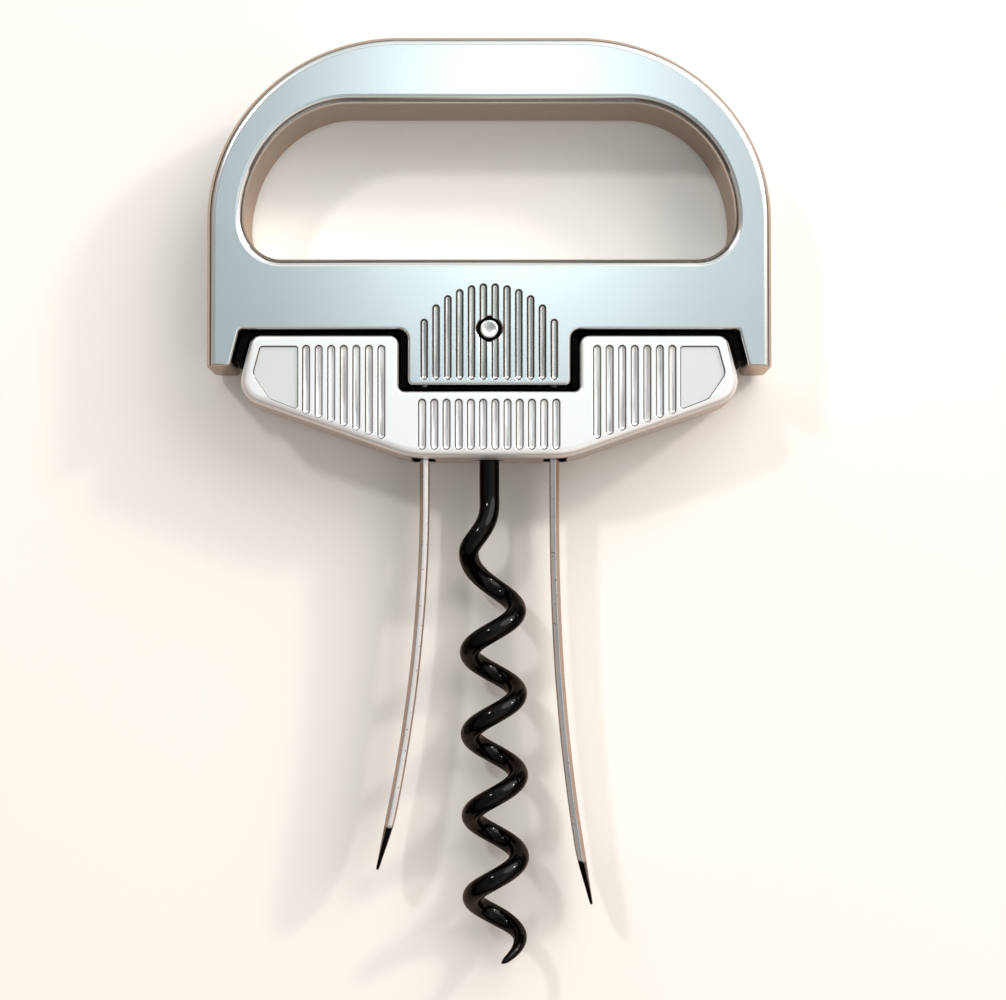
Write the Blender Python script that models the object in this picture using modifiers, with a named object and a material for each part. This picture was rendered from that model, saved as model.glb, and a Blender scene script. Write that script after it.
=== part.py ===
"""Two-part cork puller for old corks.

A cast handle carries two spring blades, and a cast bar carries the worm. The bar sits in two recesses of
the handle, held by a sprung catch, and pulls off downwards along the blades.

The puller lies on its back: +X to the right, +Y from the worm's tip to the top of the handle, +Z out of the
front. The origin is the middle of the footprint, on the surface that the puller lies on. Units are metres.
"""
import math

import bmesh
import bpy
from mathutils import Matrix, Vector

# ---- driving dimensions ------------------------------------------------------------------------------
GAP = 0.0003                # left between touching or cut pieces
THICK = 0.015               # handle and bar, back to front
MID = THICK / 2             # height of the worm's axis and of the middle of the blades
FRONT_ROUND = 0.0014        # rounding of the castings' front edges
BACK_ROUND = 0.0024         # rounding of their back edges
GRIP_BACK_ROUND = 0.0010    # rounding of the hand opening's edge at the back
FIT_ROUND = 0.0007          # rounding of the handle's edges round the tabs, the recesses and the boss

HANDLE_HALF = 0.0420        # half the handle's width
HANDLE_TOP = 0.0696
SHOULDER = 0.0422           # where the straight sides turn into the arch
ARCH_FLAT = 0.0133          # half the flat on top of the arch
TAB_BOTTOM = 0.0204
TAB_INNER = 0.0385          # inner side of a tab at its bottom
RECESS_END = 0.0371         # inner side of a tab at the top of the recess
RECESS_TOP = 0.02585
BOSS_HALF = 0.0121
BOSS_BOTTOM = 0.0176

GRIP_HALF = 0.0365          # hand opening
GRIP_TOP = 0.0597
GRIP_BOTTOM = 0.0364
GRIP_ARCH_FLAT = 0.0207
GRIP_FOOT_FLAT = 0.0309

BAR_TOP = 0.0249            # top of the wings
NOTCH_HALF = 0.0135         # the notch that the boss sits in
NOTCH_BOTTOM = 0.0166
WING_TOP_END = (0.03527, BAR_TOP)
WING_CORNER = (0.03777, 0.01595)
BELLY_END = (0.0119, 0.0068)

GROOVE_DEEP = 0.00055
BOSS_GROOVES = (12, 0.001755, 0.0005)       # count, pitch, radius
BOSS_GROOVE_BOTTOM = 0.0183
BOSS_ARCH = (0.0212, 0.01145)               # the arch that tops the boss's grooves: centre, radius
BAR_GROOVES = (12, 0.00181, 0.0006)
BAR_GROOVE_ENDS = (0.0079, 0.0155)
WING_GROOVES = (7, 0.001862, 0.0006)
WING_GROOVE_START, WING_GROOVE_TOP = 0.0160, 0.0235
WING_GROOVE_BOTTOMS = (0.0095, 0.0132)      # of the innermost and of the outermost groove
PAD_DEEP = 0.0004
PAD_CORNERS = [(0.0284, 0.0139, 0.0004), (0.0326, 0.0155, 0.0016), (0.0351, 0.0192, 0.0016),
               (0.0340, 0.0233, 0.0005), (0.0284, 0.0233, 0.0004)]     # x, y and radius

BLADE_X = 0.01005           # middle of a blade's thickness where it leaves the bar
BLADE_THICK = 0.0009
BLADE_WIDE = 0.0066
BLADE_SAG = 0.00055         # how far its edges curl towards the cork
EYE_X, EYE_Y = 0.0087, 0.0220
EYE_R, EYE_BORE = 0.00175, 0.00115
EYE_ROOT = 0.006            # the arch across a blade starts from flat over this stretch below its eye
FLARE_START = 0.002
TONGUE_LONG, TONGUE_SHARE = 0.0080, 0.42    # the narrowing end, and how much of the width is left at the tip
SHORT_BLADE = (-1, -0.0546, 0.0068, 2.0)    # side, tip, how far the tip flares, power of the flare
LONG_BLADE = (1, -0.0598, 0.0053, 2.3)

POCKET_HALF, POCKET_TOP = 0.0112, 0.0312    # hollow in the boss
POCKET_LOW, POCKET_HIGH = 0.0030, 0.0120
CARRIER_HALF, CARRIER_TOP = 0.0064, 0.0306
CARRIER_BOTTOM, LIP_BOTTOM, LIP_HALF = 0.0172, 0.01695, 0.0114
BLACK_INSET = 0.0016        # the liners and the carrier's lip stay this far behind both faces

PIN_BACK = 0.0004           # height of the back ends of pins, screws and plug
PIN_CHAMFER = 0.0002
BLADE_PIN_R, BLADE_PIN_TOP = 0.00085, 0.0132
CARRIER_SCREW = (0.0046, 0.0198)
SCREW_R, SCREW_HOLE, SCREW_TOP = 0.0008, 0.0011, 0.0058
SCREW_HEAD_R, SCREW_HEAD_HOLE, SCREW_HEAD_TOP, SCREW_SEAT = 0.0016, 0.0019, 0.0017, 0.0020
SLOT_DEEP = 0.0006

CATCH_Y = 0.0259
BUTTON_R, BUTTON_HOLE = 0.0014, 0.0018
BUTTON_TOP, BUTTON_DISH = 0.0149, 0.00015
COLLAR_R, COLLAR_LOW, COLLAR_HIGH = 0.0022, 0.0098, 0.0116
WAIST_R = 0.0011
FOOT_R, FOOT_LOW, FOOT_HIGH = 0.0020, 0.0053, 0.0060
CATCH_BORE = 0.0026
PLUG_R, PLUG_TOP = 0.0033, 0.0027
SPRING_TURNS, SPRING_R, SPRING_WIRE = 3, 0.0015, 0.0002

WIRE_R = 0.0015
HELIX_R = 0.00355
HELIX_PITCH = 0.01225
HELIX_TOP = -0.00138        # where the straight shank ends
HELIX_TURNS = 4.97
HELIX_LEAD = 0.00547        # extra length that the first turn takes, and how soon it takes it
HELIX_LEAD_TURNS = 0.35
WORM_LEAN = (0.0005, 0.0011)    # how far the helix runs off to +X, at its top and at its tip
TAPER_TURNS, TAPER_SHARE = 0.45, 0.18      # the wire's last stretch, drawn out to a blunt point
POINT_TURNS, POINT_DROP = 4.75, 0.0033      # past this turn the point drops more steeply
SHANK_TOP = 0.0140
WORM_BORE = 0.00215
HEAD_R, HEAD_BOTTOM, HEAD_TOP = 0.0032, 0.0084, 0.0163
FORK_HALF, FORK_SLOT, FORK_TOP = 0.0033, 0.0017, 0.0290
FORK_LOW, FORK_HIGH, FORK_ROOT = 0.0068, 0.0082, 0.0150
WORM_PIN_Y, WORM_PIN_R, WORM_PIN_TOP = 0.0118, 0.0006, 0.0115

GUIDE_X = 0.0099
GUIDE_HALF, GUIDE_BORE = 0.0031, 0.0024     # half widths of a guide and of the way through it
GUIDE_LOW, GUIDE_HIGH = 0.0029, 0.0121
GUIDE_BOTTOM, GUIDE_TOP = 0.0081, 0.0163
GUIDE_WAY = 0.0038          # half of the way's length, back to front
GUIDE_PIN_Y, GUIDE_PIN_R, GUIDE_PIN_TOP = 0.0125, 0.0006, 0.0032
MOUTH_HALF, MOUTH_STRAIGHT = 0.0017, 0.0029     # the slot below a guide: half width, half its straight sides

OBJECT = "cork_puller"


# ---- scene and materials -----------------------------------------------------------------------------
def clear_scene():
    for item in list(bpy.data.objects):
        bpy.data.objects.remove(item, do_unlink=True)


def new_collection(name):
    made = bpy.data.collections.new(name)
    bpy.context.scene.collection.children.link(made)
    return made


def material(name, colour, roughness, metallic):
    made = bpy.data.materials.new(name)
    made.use_nodes = True
    shader = made.node_tree.nodes["Principled BSDF"]
    shader.inputs["Base Color"].default_value = (*colour, 1.0)
    shader.inputs["Roughness"].default_value = roughness
    shader.inputs["Metallic"].default_value = metallic
    return made


def satin_zinc(name):
    return material(name, (0.74, 0.75, 0.77), 0.32, 1.0)


def spring_steel(name):
    return material(name, (0.62, 0.61, 0.60), 0.28, 1.0)


def bright_steel(name):
    return material(name, (0.70, 0.70, 0.70), 0.22, 1.0)


def black_nylon(name):
    return material(name, (0.012, 0.012, 0.013), 0.45, 0.0)


# ---- making shapes -----------------------------------------------------------------------------------
def place(name, mesh, finish=None):
    """Link a mesh as a part, or, with no finish, as a cutter."""
    made = bpy.data.objects.new(name, mesh)
    if finish is None:
        made.hide_render = True
        made.display_type = "WIRE"
        CUTTERS.objects.link(made)
    else:
        made.data.materials.clear()
        made.data.materials.append(finish)
        PARTS.objects.link(made)
    return made


def mesh_of(name, shape):
    mesh = bpy.data.meshes.new(name)
    shape.to_mesh(mesh)
    shape.free()
    return mesh


def smooth(mesh, angle=35):
    mesh.shade_smooth()
    mesh.set_sharp_from_angle(angle=math.radians(angle))


def box_into(shape, low, high):
    size = [high[i] - low[i] for i in range(3)]
    middle = [(high[i] + low[i]) / 2 for i in range(3)]
    bmesh.ops.create_cube(shape, size=1.0, matrix=Matrix.Translation(middle) @ Matrix.Diagonal((*size, 1.0)))


def rod_into(shape, start, end, radius, sides=20):
    """A cylinder from start to end."""
    start, end = Vector(start), Vector(end)
    along = end - start
    turn = Vector((0, 0, 1)).rotation_difference(along).to_matrix().to_4x4()
    bmesh.ops.create_cone(
        shape, cap_ends=True, segments=sides, radius1=radius, radius2=radius, depth=along.length,
        matrix=Matrix.Translation((start + end) / 2) @ turn)


def boxes(name, *corners, finish=None):
    shape = bmesh.new()
    for low, high in corners:
        box_into(shape, low, high)
    return place(name, mesh_of(name, shape), finish)


def rod(name, start, end, radius, sides=20, finish=None):
    shape = bmesh.new()
    rod_into(shape, start, end, radius, sides)
    mesh = mesh_of(name, shape)
    smooth(mesh)
    return place(name, mesh, finish)


def turned(name, profile, where, finish, steps=24):
    """A turned piece: (radius, height) pairs from the top down, turned about a vertical line at where."""
    mesh = bpy.data.meshes.new(name)
    edges = [(i, i + 1) for i in range(len(profile) - 1)]
    mesh.from_pydata([(radius, 0, height) for radius, height in profile], edges, [])
    made = place(name, mesh, finish)
    made.location = where
    screw = made.modifiers.new("turn", "SCREW")
    screw.steps = screw.render_steps = steps
    screw.use_merge_vertices = True
    screw.merge_threshold = 0.00001
    screw.use_smooth_shade = False
    return made


def arc(centre, radii, start, end, steps):
    """Points of an elliptical arc, angles in degrees."""
    points = []
    for i in range(steps + 1):
        angle = math.radians(start + (end - start) * i / steps)
        points.append((centre[0] + radii[0] * math.cos(angle), centre[1] + radii[1] * math.sin(angle)))
    return points


def rounded(corner, before, after, radius, steps=4):
    """The corner of an outline, as the arc of the given radius that touches both of its sides."""
    corner, before, after = Vector(corner), Vector(before), Vector(after)
    back, ahead = (before - corner).normalized(), (after - corner).normalized()
    half = back.angle(ahead) / 2
    reach = radius / math.tan(half)
    centre = corner + (back + ahead).normalized() * radius / math.sin(half)
    first, last = corner + back * reach - centre, corner + ahead * reach - centre
    sweep = first.angle_signed(last)
    return [tuple(centre + Matrix.Rotation(-sweep * i / steps, 2) @ first) for i in range(steps + 1)]


def outline_of(corners):
    """An outline from (x, y, radius) corners; a radius of 0 keeps the corner sharp."""
    points = []
    for i, (x, y, radius) in enumerate(corners):
        before, after = corners[i - 1][:2], corners[(i + 1) % len(corners)][:2]
        points += rounded((x, y), before, after, radius) if radius else [(x, y)]
    return points


def mirrored(half):
    """A closed outline from its right half, listed from the axis of symmetry round to it again."""
    return half + [(-x, y) for x, y in reversed(half) if abs(x) > 1e-6]


def plate_mesh(name, outline, low, high):
    """A flat outline with thickness, as a mesh with welded corners and undivided faces."""
    curve = bpy.data.curves.new(name, "CURVE")
    curve.dimensions = "2D"
    curve.fill_mode = "BOTH"
    curve.extrude = (high - low) / 2
    spline = curve.splines.new("POLY")
    spline.points.add(len(outline) - 1)
    for point, (x, y) in zip(spline.points, outline):
        point.co = (x, y, 0, 1)
    spline.use_cyclic_u = True
    guide = bpy.data.objects.new(name, curve)
    bpy.context.scene.collection.objects.link(guide)
    seen = guide.evaluated_get(bpy.context.evaluated_depsgraph_get())
    mesh = bpy.data.meshes.new_from_object(seen)
    bpy.data.objects.remove(guide)
    shape = bmesh.new()
    shape.from_mesh(mesh)
    bmesh.ops.remove_doubles(shape, verts=shape.verts, dist=0.00001)
    bmesh.ops.dissolve_limit(shape, angle_limit=math.radians(0.5), verts=shape.verts, edges=shape.edges)
    bmesh.ops.recalc_face_normals(shape, faces=shape.faces)
    bmesh.ops.translate(shape, verts=shape.verts, vec=(0, 0, (high + low) / 2))
    shape.to_mesh(mesh)
    shape.free()
    return mesh


def plate(name, outline, low, high, finish=None):
    return place(name, plate_mesh(name, outline, low, high), finish)


def round_edges(part, fine=lambda a, b: False, segments=2):
    """Round a plate's front and back rims, each by its own radius, and the fine stretches by theirs."""
    mesh = part.data
    weights = mesh.attributes.new("bevel_weight_edge", "FLOAT", "EDGE")
    for edge in mesh.edges:
        a, b = (mesh.vertices[i].co for i in edge.vertices)
        if abs(a.z - b.z) > 1e-6:
            continue
        radius = FRONT_ROUND if a.z > MID else BACK_ROUND
        weights.data[edge.index].value = (FIT_ROUND if fine(a, b) else radius) / BACK_ROUND
    bevel = part.modifiers.new("rims", "BEVEL")
    bevel.limit_method = "WEIGHT"
    bevel.width = BACK_ROUND
    bevel.segments = segments
    bevel.use_clamp_overlap = False


def boolean(part, other, operation="DIFFERENCE", stepped=False):
    """Cut or join; stepped is for a cutter made of shapes that overlap each other."""
    modifier = part.modifiers.new(other.name, "BOOLEAN")
    modifier.operation = operation
    modifier.solver = "EXACT"
    modifier.use_self = stepped
    modifier.object = other


def grooves(name, lanes, radius, front=THICK):
    """A cutter of round-ended grooves, GROOVE_DEEP into the front. A lane is (x, low y, high y)."""
    shape = bmesh.new()
    for x, low, high in lanes:
        made = bmesh.ops.create_uvsphere(
            shape, u_segments=8, v_segments=5, radius=radius,
            matrix=Matrix.Rotation(math.radians(90), 4, "X") @ Matrix.Rotation(math.radians(22.5), 4, "Z"))
        for vert in made["verts"]:
            vert.co.y += (high - radius) if vert.co.y > 0 else (low + radius)
            vert.co.x += x
            vert.co.z += front + radius - GROOVE_DEEP
    return place(name, mesh_of(name, shape))


def spread(count, pitch):
    """Places of evenly pitched things about zero."""
    return [(i - (count - 1) / 2) * pitch for i in range(count)]


def both_sides(points):
    return [points, [(-x, y) for x, y in reversed(points)]]


# ---- handle ------------------------------------------------------------------------------------------
def handle_outline():
    half = [(ARCH_FLAT, HANDLE_TOP)]
    half += arc((ARCH_FLAT, SHOULDER), (HANDLE_HALF - ARCH_FLAT, HANDLE_TOP - SHOULDER), 90, 0, 16)[1:]
    half += [(HANDLE_HALF, TAB_BOTTOM), (TAB_INNER, TAB_BOTTOM), (RECESS_END, RECESS_TOP)]
    half += [(BOSS_HALF, RECESS_TOP), (BOSS_HALF, BOSS_BOTTOM)]
    return mirrored(half)


def grip_outline(extra=0.0):
    """The hand opening, enlarged all round by extra."""
    side, top, bottom = GRIP_HALF + extra, GRIP_TOP + extra, GRIP_BOTTOM - extra
    half = [(GRIP_ARCH_FLAT, top)]
    half += arc((GRIP_ARCH_FLAT, SHOULDER), (side - GRIP_ARCH_FLAT, top - SHOULDER), 90, 0, 12)[1:]
    half += arc((GRIP_FOOT_FLAT, SHOULDER), (side - GRIP_FOOT_FLAT, SHOULDER - bottom), 0, -90, 8)[1:]
    return mirrored(half)


def grip_cutter():
    """The opening's cutter: straight in the middle, flared at both faces where the edges are rounded."""
    levels = []
    for i in range(3):
        angle = math.radians(45 * i)
        levels.append((GRIP_BACK_ROUND * (1 - math.sin(angle)), GRIP_BACK_ROUND * (1 - math.cos(angle))))
    levels = [(-0.001, levels[0][0] + 0.001)] + [(depth, flare) for flare, depth in levels]
    for i in range(3):
        angle = math.radians(90 - 45 * i)
        levels.append((THICK - FRONT_ROUND * (1 - math.cos(angle)), FRONT_ROUND * (1 - math.sin(angle))))
    levels.append((THICK + 0.001, levels[-1][1] + 0.001))
    shape = bmesh.new()
    rings = [[shape.verts.new((x, y, z)) for x, y in grip_outline(flare)] for z, flare in levels]
    for lower, upper in zip(rings, rings[1:]):
        for i in range(len(lower)):
            j = (i + 1) % len(lower)
            shape.faces.new((lower[i], lower[j], upper[j], upper[i]))
    shape.faces.new(rings[0])
    shape.faces.new(rings[-1])
    bmesh.ops.recalc_face_normals(shape, faces=shape.faces)
    return place("grip_cutter", mesh_of("grip_cutter", shape))


def boss_lanes():
    """The boss's ribbing: straight at the bottom, under an arch at the top."""
    count, pitch, _ = BOSS_GROOVES
    centre, radius = BOSS_ARCH
    return [(x, BOSS_GROOVE_BOTTOM, centre + math.sqrt(radius ** 2 - x ** 2)) for x in spread(count, pitch)]


def boss_hollow():
    """Pocket for the carrier and the blades' eyes, open at the boss's bottom."""
    return boxes("boss_hollow", ((-POCKET_HALF, BOSS_BOTTOM - 0.001, POCKET_LOW),
                                 (POCKET_HALF, POCKET_TOP, POCKET_HIGH)))


def handle_holes():
    """Holes into the pocket: for the button, the plug, the blade pins and the carrier's screws."""
    shape = bmesh.new()
    rod_into(shape, (0, CATCH_Y, MID), (0, CATCH_Y, THICK + 0.001), BUTTON_HOLE)
    rod_into(shape, (0, CATCH_Y, -0.001), (0, CATCH_Y, MID - 0.001), PLUG_R + GAP)
    for side in (-1, 1):
        eye = side * EYE_X
        rod_into(shape, (eye, EYE_Y, -0.001), (eye, EYE_Y, BLADE_PIN_TOP + GAP), BLADE_PIN_R + GAP, 12)
        x, y = side * CARRIER_SCREW[0], CARRIER_SCREW[1]
        rod_into(shape, (x, y, -0.001), (x, y, SCREW_SEAT), SCREW_HEAD_HOLE, 16)
        rod_into(shape, (x, y, SCREW_SEAT - 0.0005), (x, y, POCKET_LOW + 0.001), SCREW_HOLE, 12)
    return place("handle_holes", mesh_of("handle_holes", shape))


def handle_frame():
    part = plate("handle_frame", handle_outline(), 0, THICK, satin_zinc("handle_zinc"))
    round_edges(part, lambda a, b: max(a.y, b.y) < RECESS_TOP + GAP)
    boolean(part, grip_cutter())
    boolean(part, boss_hollow())
    boolean(part, grooves("boss_grooves", boss_lanes(), BOSS_GROOVES[2]))
    boolean(part, handle_holes(), stepped=True)


def seat_liner(name, side):
    """A thin channel that lines one recess: down the boss, across the top and down the tab."""
    foot, tab_foot = LIP_BOTTOM + 0.00035, 0.0212
    wall = [(BOSS_HALF + GAP, foot), (BOSS_HALF + GAP, RECESS_TOP - GAP),
            (RECESS_END - GAP, RECESS_TOP - GAP), (TAB_INNER - 0.0006, tab_foot)]
    seat = [(TAB_INNER - 0.0014, tab_foot), (0.0356, BAR_TOP + GAP), (NOTCH_HALF - GAP, BAR_TOP + GAP),
            (NOTCH_HALF - GAP, foot)]
    outline = wall + seat
    if side < 0:
        outline = [(-x, y) for x, y in reversed(outline)]
    plate(name, outline, BLACK_INSET, THICK - BLACK_INSET, black_nylon(name + "_black"))


def blade_carrier():
    """Block in the boss: it closes the boss's mouth, takes the fork, and guides the catch button."""
    part = boxes("blade_carrier", ((-CARRIER_HALF, CARRIER_BOTTOM, POCKET_LOW + GAP),
                                   (CARRIER_HALF, CARRIER_TOP, POCKET_HIGH - GAP)),
                 finish=black_nylon("carrier_black"))
    lip = boxes("carrier_lip", ((-LIP_HALF, LIP_BOTTOM, BLACK_INSET),
                                (LIP_HALF, BOSS_BOTTOM - GAP, THICK - BLACK_INSET)))
    below, half = LIP_BOTTOM - 0.001, BLADE_WIDE / 2 + 0.0004
    inner, outer = EYE_X - 0.0014, EYE_X + 0.0022
    slots = boxes("carrier_slots", *[
        ((min(side * inner, side * outer), below, MID - half),
         (max(side * inner, side * outer), BOSS_BOTTOM + 0.0004, MID + half)) for side in (-1, 1)])
    socket = boxes("fork_socket", ((-FORK_HALF - GAP, below, FORK_LOW - GAP),
                                   (FORK_HALF + GAP, FORK_TOP + GAP, FORK_HIGH + GAP)))
    bore = rod("catch_bore", (0, CATCH_Y, 0), (0, CATCH_Y, THICK), CATCH_BORE, 20)
    shape = bmesh.new()
    for side in (-1, 1):
        x, y = side * CARRIER_SCREW[0], CARRIER_SCREW[1]
        rod_into(shape, (x, y, 0), (x, y, SCREW_TOP + GAP), SCREW_HOLE, 12)
    screws = place("carrier_screw_holes", mesh_of("carrier_screw_holes", shape))
    boolean(part, lip, "UNION")
    for cutter in (slots, socket, bore, screws):
        boolean(part, cutter)


def screw_with_slot(name, where, profile, slot_half, slot_wide):
    """A turned screw or plug, head down, with a driver slot across its back face."""
    low = profile[-1][1]
    part = turned(name, profile, (*where, 0), bright_steel(name + "_steel"), 20)
    slot = boxes(name + "_slot", ((where[0] - slot_half, where[1] - slot_wide / 2, low - 0.001),
                                  (where[0] + slot_half, where[1] + slot_wide / 2, low + SLOT_DEEP)))
    boolean(part, slot)


def pin_profile(radius, top):
    """A round pin with a small chamfer on its back end."""
    return [(0, top), (radius, top), (radius, PIN_BACK + PIN_CHAMFER), (radius - PIN_CHAMFER, PIN_BACK),
            (0, PIN_BACK)]


def handle_fasteners():
    screw = [(0, SCREW_TOP), (SCREW_R, SCREW_TOP), (SCREW_R, SCREW_HEAD_TOP), (SCREW_HEAD_R, SCREW_HEAD_TOP),
             (SCREW_HEAD_R, PIN_BACK), (0, PIN_BACK)]
    for side, word in ((-1, "left"), (1, "right")):
        place_of = (side * CARRIER_SCREW[0], CARRIER_SCREW[1])
        screw_with_slot("carrier_screw_" + word, place_of, screw, 0.003, 0.0005)
        turned("blade_pin_" + word, pin_profile(BLADE_PIN_R, BLADE_PIN_TOP), (side * EYE_X, EYE_Y, 0),
               bright_steel("pin_steel_" + word), 12)
    plug = [(0, PLUG_TOP), (PLUG_R, PLUG_TOP), (PLUG_R, PIN_BACK), (0, PIN_BACK)]
    screw_with_slot("catch_plug", (0, CATCH_Y), plug, 0.005, 0.0008)


# ---- blades ------------------------------------------------------------------------------------------
def flare_at(y, tip, reach, power):
    """How far a blade's middle has moved outwards at y."""
    along = max(0.0, (FLARE_START - y) / (FLARE_START - tip))
    return reach * along ** power


def tongue(y, tip):
    """Half the blade's width at y: full, then narrowing to a tongue over the last stretch."""
    near = min(1.0, max(0.0, (y - tip) / TONGUE_LONG))
    return BLADE_WIDE / 2 * (TONGUE_SHARE + (1 - TONGUE_SHARE) * math.sin(near * math.pi / 2))


def blade(name, side, tip, reach, power):
    """A strip, arched across its width, that flares away from the worm; its root is rolled into an eye."""
    rows, columns = 20, 4
    shape = bmesh.new()
    bmesh.ops.create_grid(shape, x_segments=columns, y_segments=rows, size=0.5)
    top = EYE_Y - 0.0002
    for vert in shape.verts:
        across, up = vert.co.x * 2, vert.co.y + 0.5
        y = tip + (top - tip) * up
        arch = BLADE_SAG * across ** 2 * min(1.0, (top - y) / EYE_ROOT)
        x = BLADE_X + flare_at(y, tip, reach, power) - arch
        vert.co = (x * side, y, MID + across * tongue(y, tip))
    mesh = mesh_of(name, shape)
    part = place(name, mesh, spring_steel(name + "_steel"))
    wall = part.modifiers.new("thickness", "SOLIDIFY")
    wall.thickness = BLADE_THICK
    wall.offset = 0
    centre = side * EYE_X
    low, high = MID - BLADE_WIDE / 2 + 0.00013, MID + BLADE_WIDE / 2 - 0.00017     # just inside the edges
    eye = rod(name + "_eye", (centre, EYE_Y, low), (centre, EYE_Y, high), EYE_R, 20)
    bore = rod(name + "_bore", (centre, EYE_Y, 0), (centre, EYE_Y, THICK), EYE_BORE, 16)
    boolean(part, eye, "UNION")
    boolean(part, bore)
    set_origin(part, (centre, EYE_Y, MID))


def set_origin(part, where):
    """Move a part's origin to its joint's axis and leave its shape where it is."""
    part.data.transform(Matrix.Translation(-Vector(where)))
    part.location = where


# ---- catch -------------------------------------------------------------------------------------------
def catch_button():
    """A dished button with a collar that stops it, a waist for the fork and a foot on the spring."""
    rim = BUTTON_R - 0.0003
    profile = [(0, BUTTON_TOP - BUTTON_DISH), (rim - 0.0003, BUTTON_TOP - BUTTON_DISH / 2),
               (rim, BUTTON_TOP), (BUTTON_R, BUTTON_TOP - 0.0003), (BUTTON_R, COLLAR_HIGH),
               (COLLAR_R, COLLAR_HIGH), (COLLAR_R, COLLAR_LOW), (WAIST_R, COLLAR_LOW), (WAIST_R, FOOT_HIGH),
               (FOOT_R, FOOT_HIGH), (FOOT_R, FOOT_LOW), (0, FOOT_LOW)]
    turned("catch_button", profile, (0, CATCH_Y, 0), bright_steel("button_steel"), 24)


def catch_spring():
    """A small coil between the plug and the button's foot."""
    steps = SPRING_TURNS * 12
    low, high = PLUG_TOP + GAP + SPRING_WIRE, FOOT_LOW - GAP - SPRING_WIRE
    curve = bpy.data.curves.new("catch_spring", "CURVE")
    curve.dimensions = "3D"
    curve.bevel_depth = SPRING_WIRE
    curve.bevel_resolution = 1
    curve.use_fill_caps = True
    spline = curve.splines.new("POLY")
    spline.points.add(steps)
    for i, point in enumerate(spline.points):
        angle = 2 * math.pi * SPRING_TURNS * i / steps
        x, y = SPRING_R * math.cos(angle), SPRING_R * math.sin(angle)
        point.co = (x, y, low + (high - low) * i / steps, 1)
    made = bpy.data.objects.new("catch_spring", curve)
    made.location = (0, CATCH_Y, 0)
    curve.materials.append(bright_steel("spring_steel"))
    PARTS.objects.link(made)


# ---- bar ---------------------------------------------------------------------------------------------
def bar_outline():
    corners = [(NOTCH_HALF, NOTCH_BOTTOM, 0), (NOTCH_HALF, BAR_TOP, 0), (*WING_TOP_END, 0.0015),
               (*WING_CORNER, 0.0036), (*BELLY_END, 0.012)]
    half = []
    for i, (x, y, radius) in enumerate(corners):
        before = corners[i - 1][:2]
        after = corners[i + 1][:2] if i + 1 < len(corners) else (0, BELLY_END[1])
        half += rounded((x, y), before, after, radius, 5) if radius else [(x, y)]
    return mirrored(half)


def bar_lanes():
    count, pitch, _ = BAR_GROOVES
    return [(x, *BAR_GROOVE_ENDS) for x in spread(count, pitch)]


def wing_lanes():
    """Grooves on both wings; their lower ends follow the sloping belly."""
    count, pitch, _ = WING_GROOVES
    inner_end, outer_end = WING_GROOVE_BOTTOMS
    lanes = []
    for i in range(count):
        x = WING_GROOVE_START + i * pitch
        low = inner_end + (outer_end - inner_end) * i / (count - 1)
        lanes += [(x, low, WING_GROOVE_TOP), (-x, low, WING_GROOVE_TOP)]
    return lanes


def pad_cutters():
    """The flat, slightly sunken pad at the outer end of each wing."""
    for side, outline in zip(("right", "left"), both_sides(outline_of(PAD_CORNERS))):
        yield plate("pad_" + side, outline, THICK - PAD_DEEP, THICK + 0.001)


def bar_hollows():
    """Counterbore for the worm's head, the worm's way out, and a pocket and a mouth for each blade."""
    shape = bmesh.new()
    rod_into(shape, (0, HEAD_BOTTOM - GAP, MID), (0, NOTCH_BOTTOM + 0.001, MID), HEAD_R + GAP, 24)
    centre = place("head_bore", mesh_of("head_bore", shape))
    way = rod("worm_bore", (0, 0, MID), (0, HEAD_BOTTOM + 0.001, MID), WORM_BORE, 24)
    low, high = GUIDE_LOW - GAP, GUIDE_HIGH + GAP
    pockets = boxes("guide_pockets", *[
        ((side * GUIDE_X - GUIDE_HALF - GAP, GUIDE_BOTTOM - GAP, low),
         (side * GUIDE_X + GUIDE_HALF + GAP, NOTCH_BOTTOM + 0.001, high)) for side in (-1, 1)])
    cutters = [centre, way, pockets]
    for side in (-1, 1):
        cutters.append(blade_mouth("mouth_left" if side < 0 else "mouth_right", side * GUIDE_X))
    return cutters


def blade_mouth(name, x):
    """The round-ended slot that a blade comes out of, through the bar's underside."""
    sides = 16
    shape = bmesh.new()
    rod_into(shape, (0, BELLY_END[1] - 0.002, 0), (0, GUIDE_BOTTOM - GAP / 2, 0), MOUTH_HALF, sides)
    bmesh.ops.rotate(shape, verts=shape.verts, matrix=Matrix.Rotation(math.pi / sides, 3, "Y"))
    for vert in shape.verts:
        vert.co.x += x
        vert.co.z += MID + math.copysign(MOUTH_STRAIGHT, vert.co.z)
    return place(name, mesh_of(name, shape))


def bar_pin_holes():
    shape = bmesh.new()
    rod_into(shape, (0, WORM_PIN_Y, -0.001), (0, WORM_PIN_Y, WORM_PIN_TOP + GAP), WORM_PIN_R + GAP, 12)
    for side in (-1, 1):
        x = side * GUIDE_X
        rod_into(shape, (x, GUIDE_PIN_Y, -0.001), (x, GUIDE_PIN_Y, GUIDE_LOW + 0.001), GUIDE_PIN_R + GAP, 12)
    return place("bar_pin_holes", mesh_of("bar_pin_holes", shape))


def stabilizer_bar():
    part = plate("stabilizer_bar", bar_outline(), 0, THICK, satin_zinc("bar_zinc"))
    round_edges(part)
    for cutter in bar_hollows():
        boolean(part, cutter)
    boolean(part, bar_pin_holes())
    boolean(part, grooves("bar_grooves", bar_lanes(), BAR_GROOVES[2]))
    boolean(part, grooves("wing_grooves", wing_lanes(), WING_GROOVES[2]))
    for cutter in pad_cutters():
        boolean(part, cutter)


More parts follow.
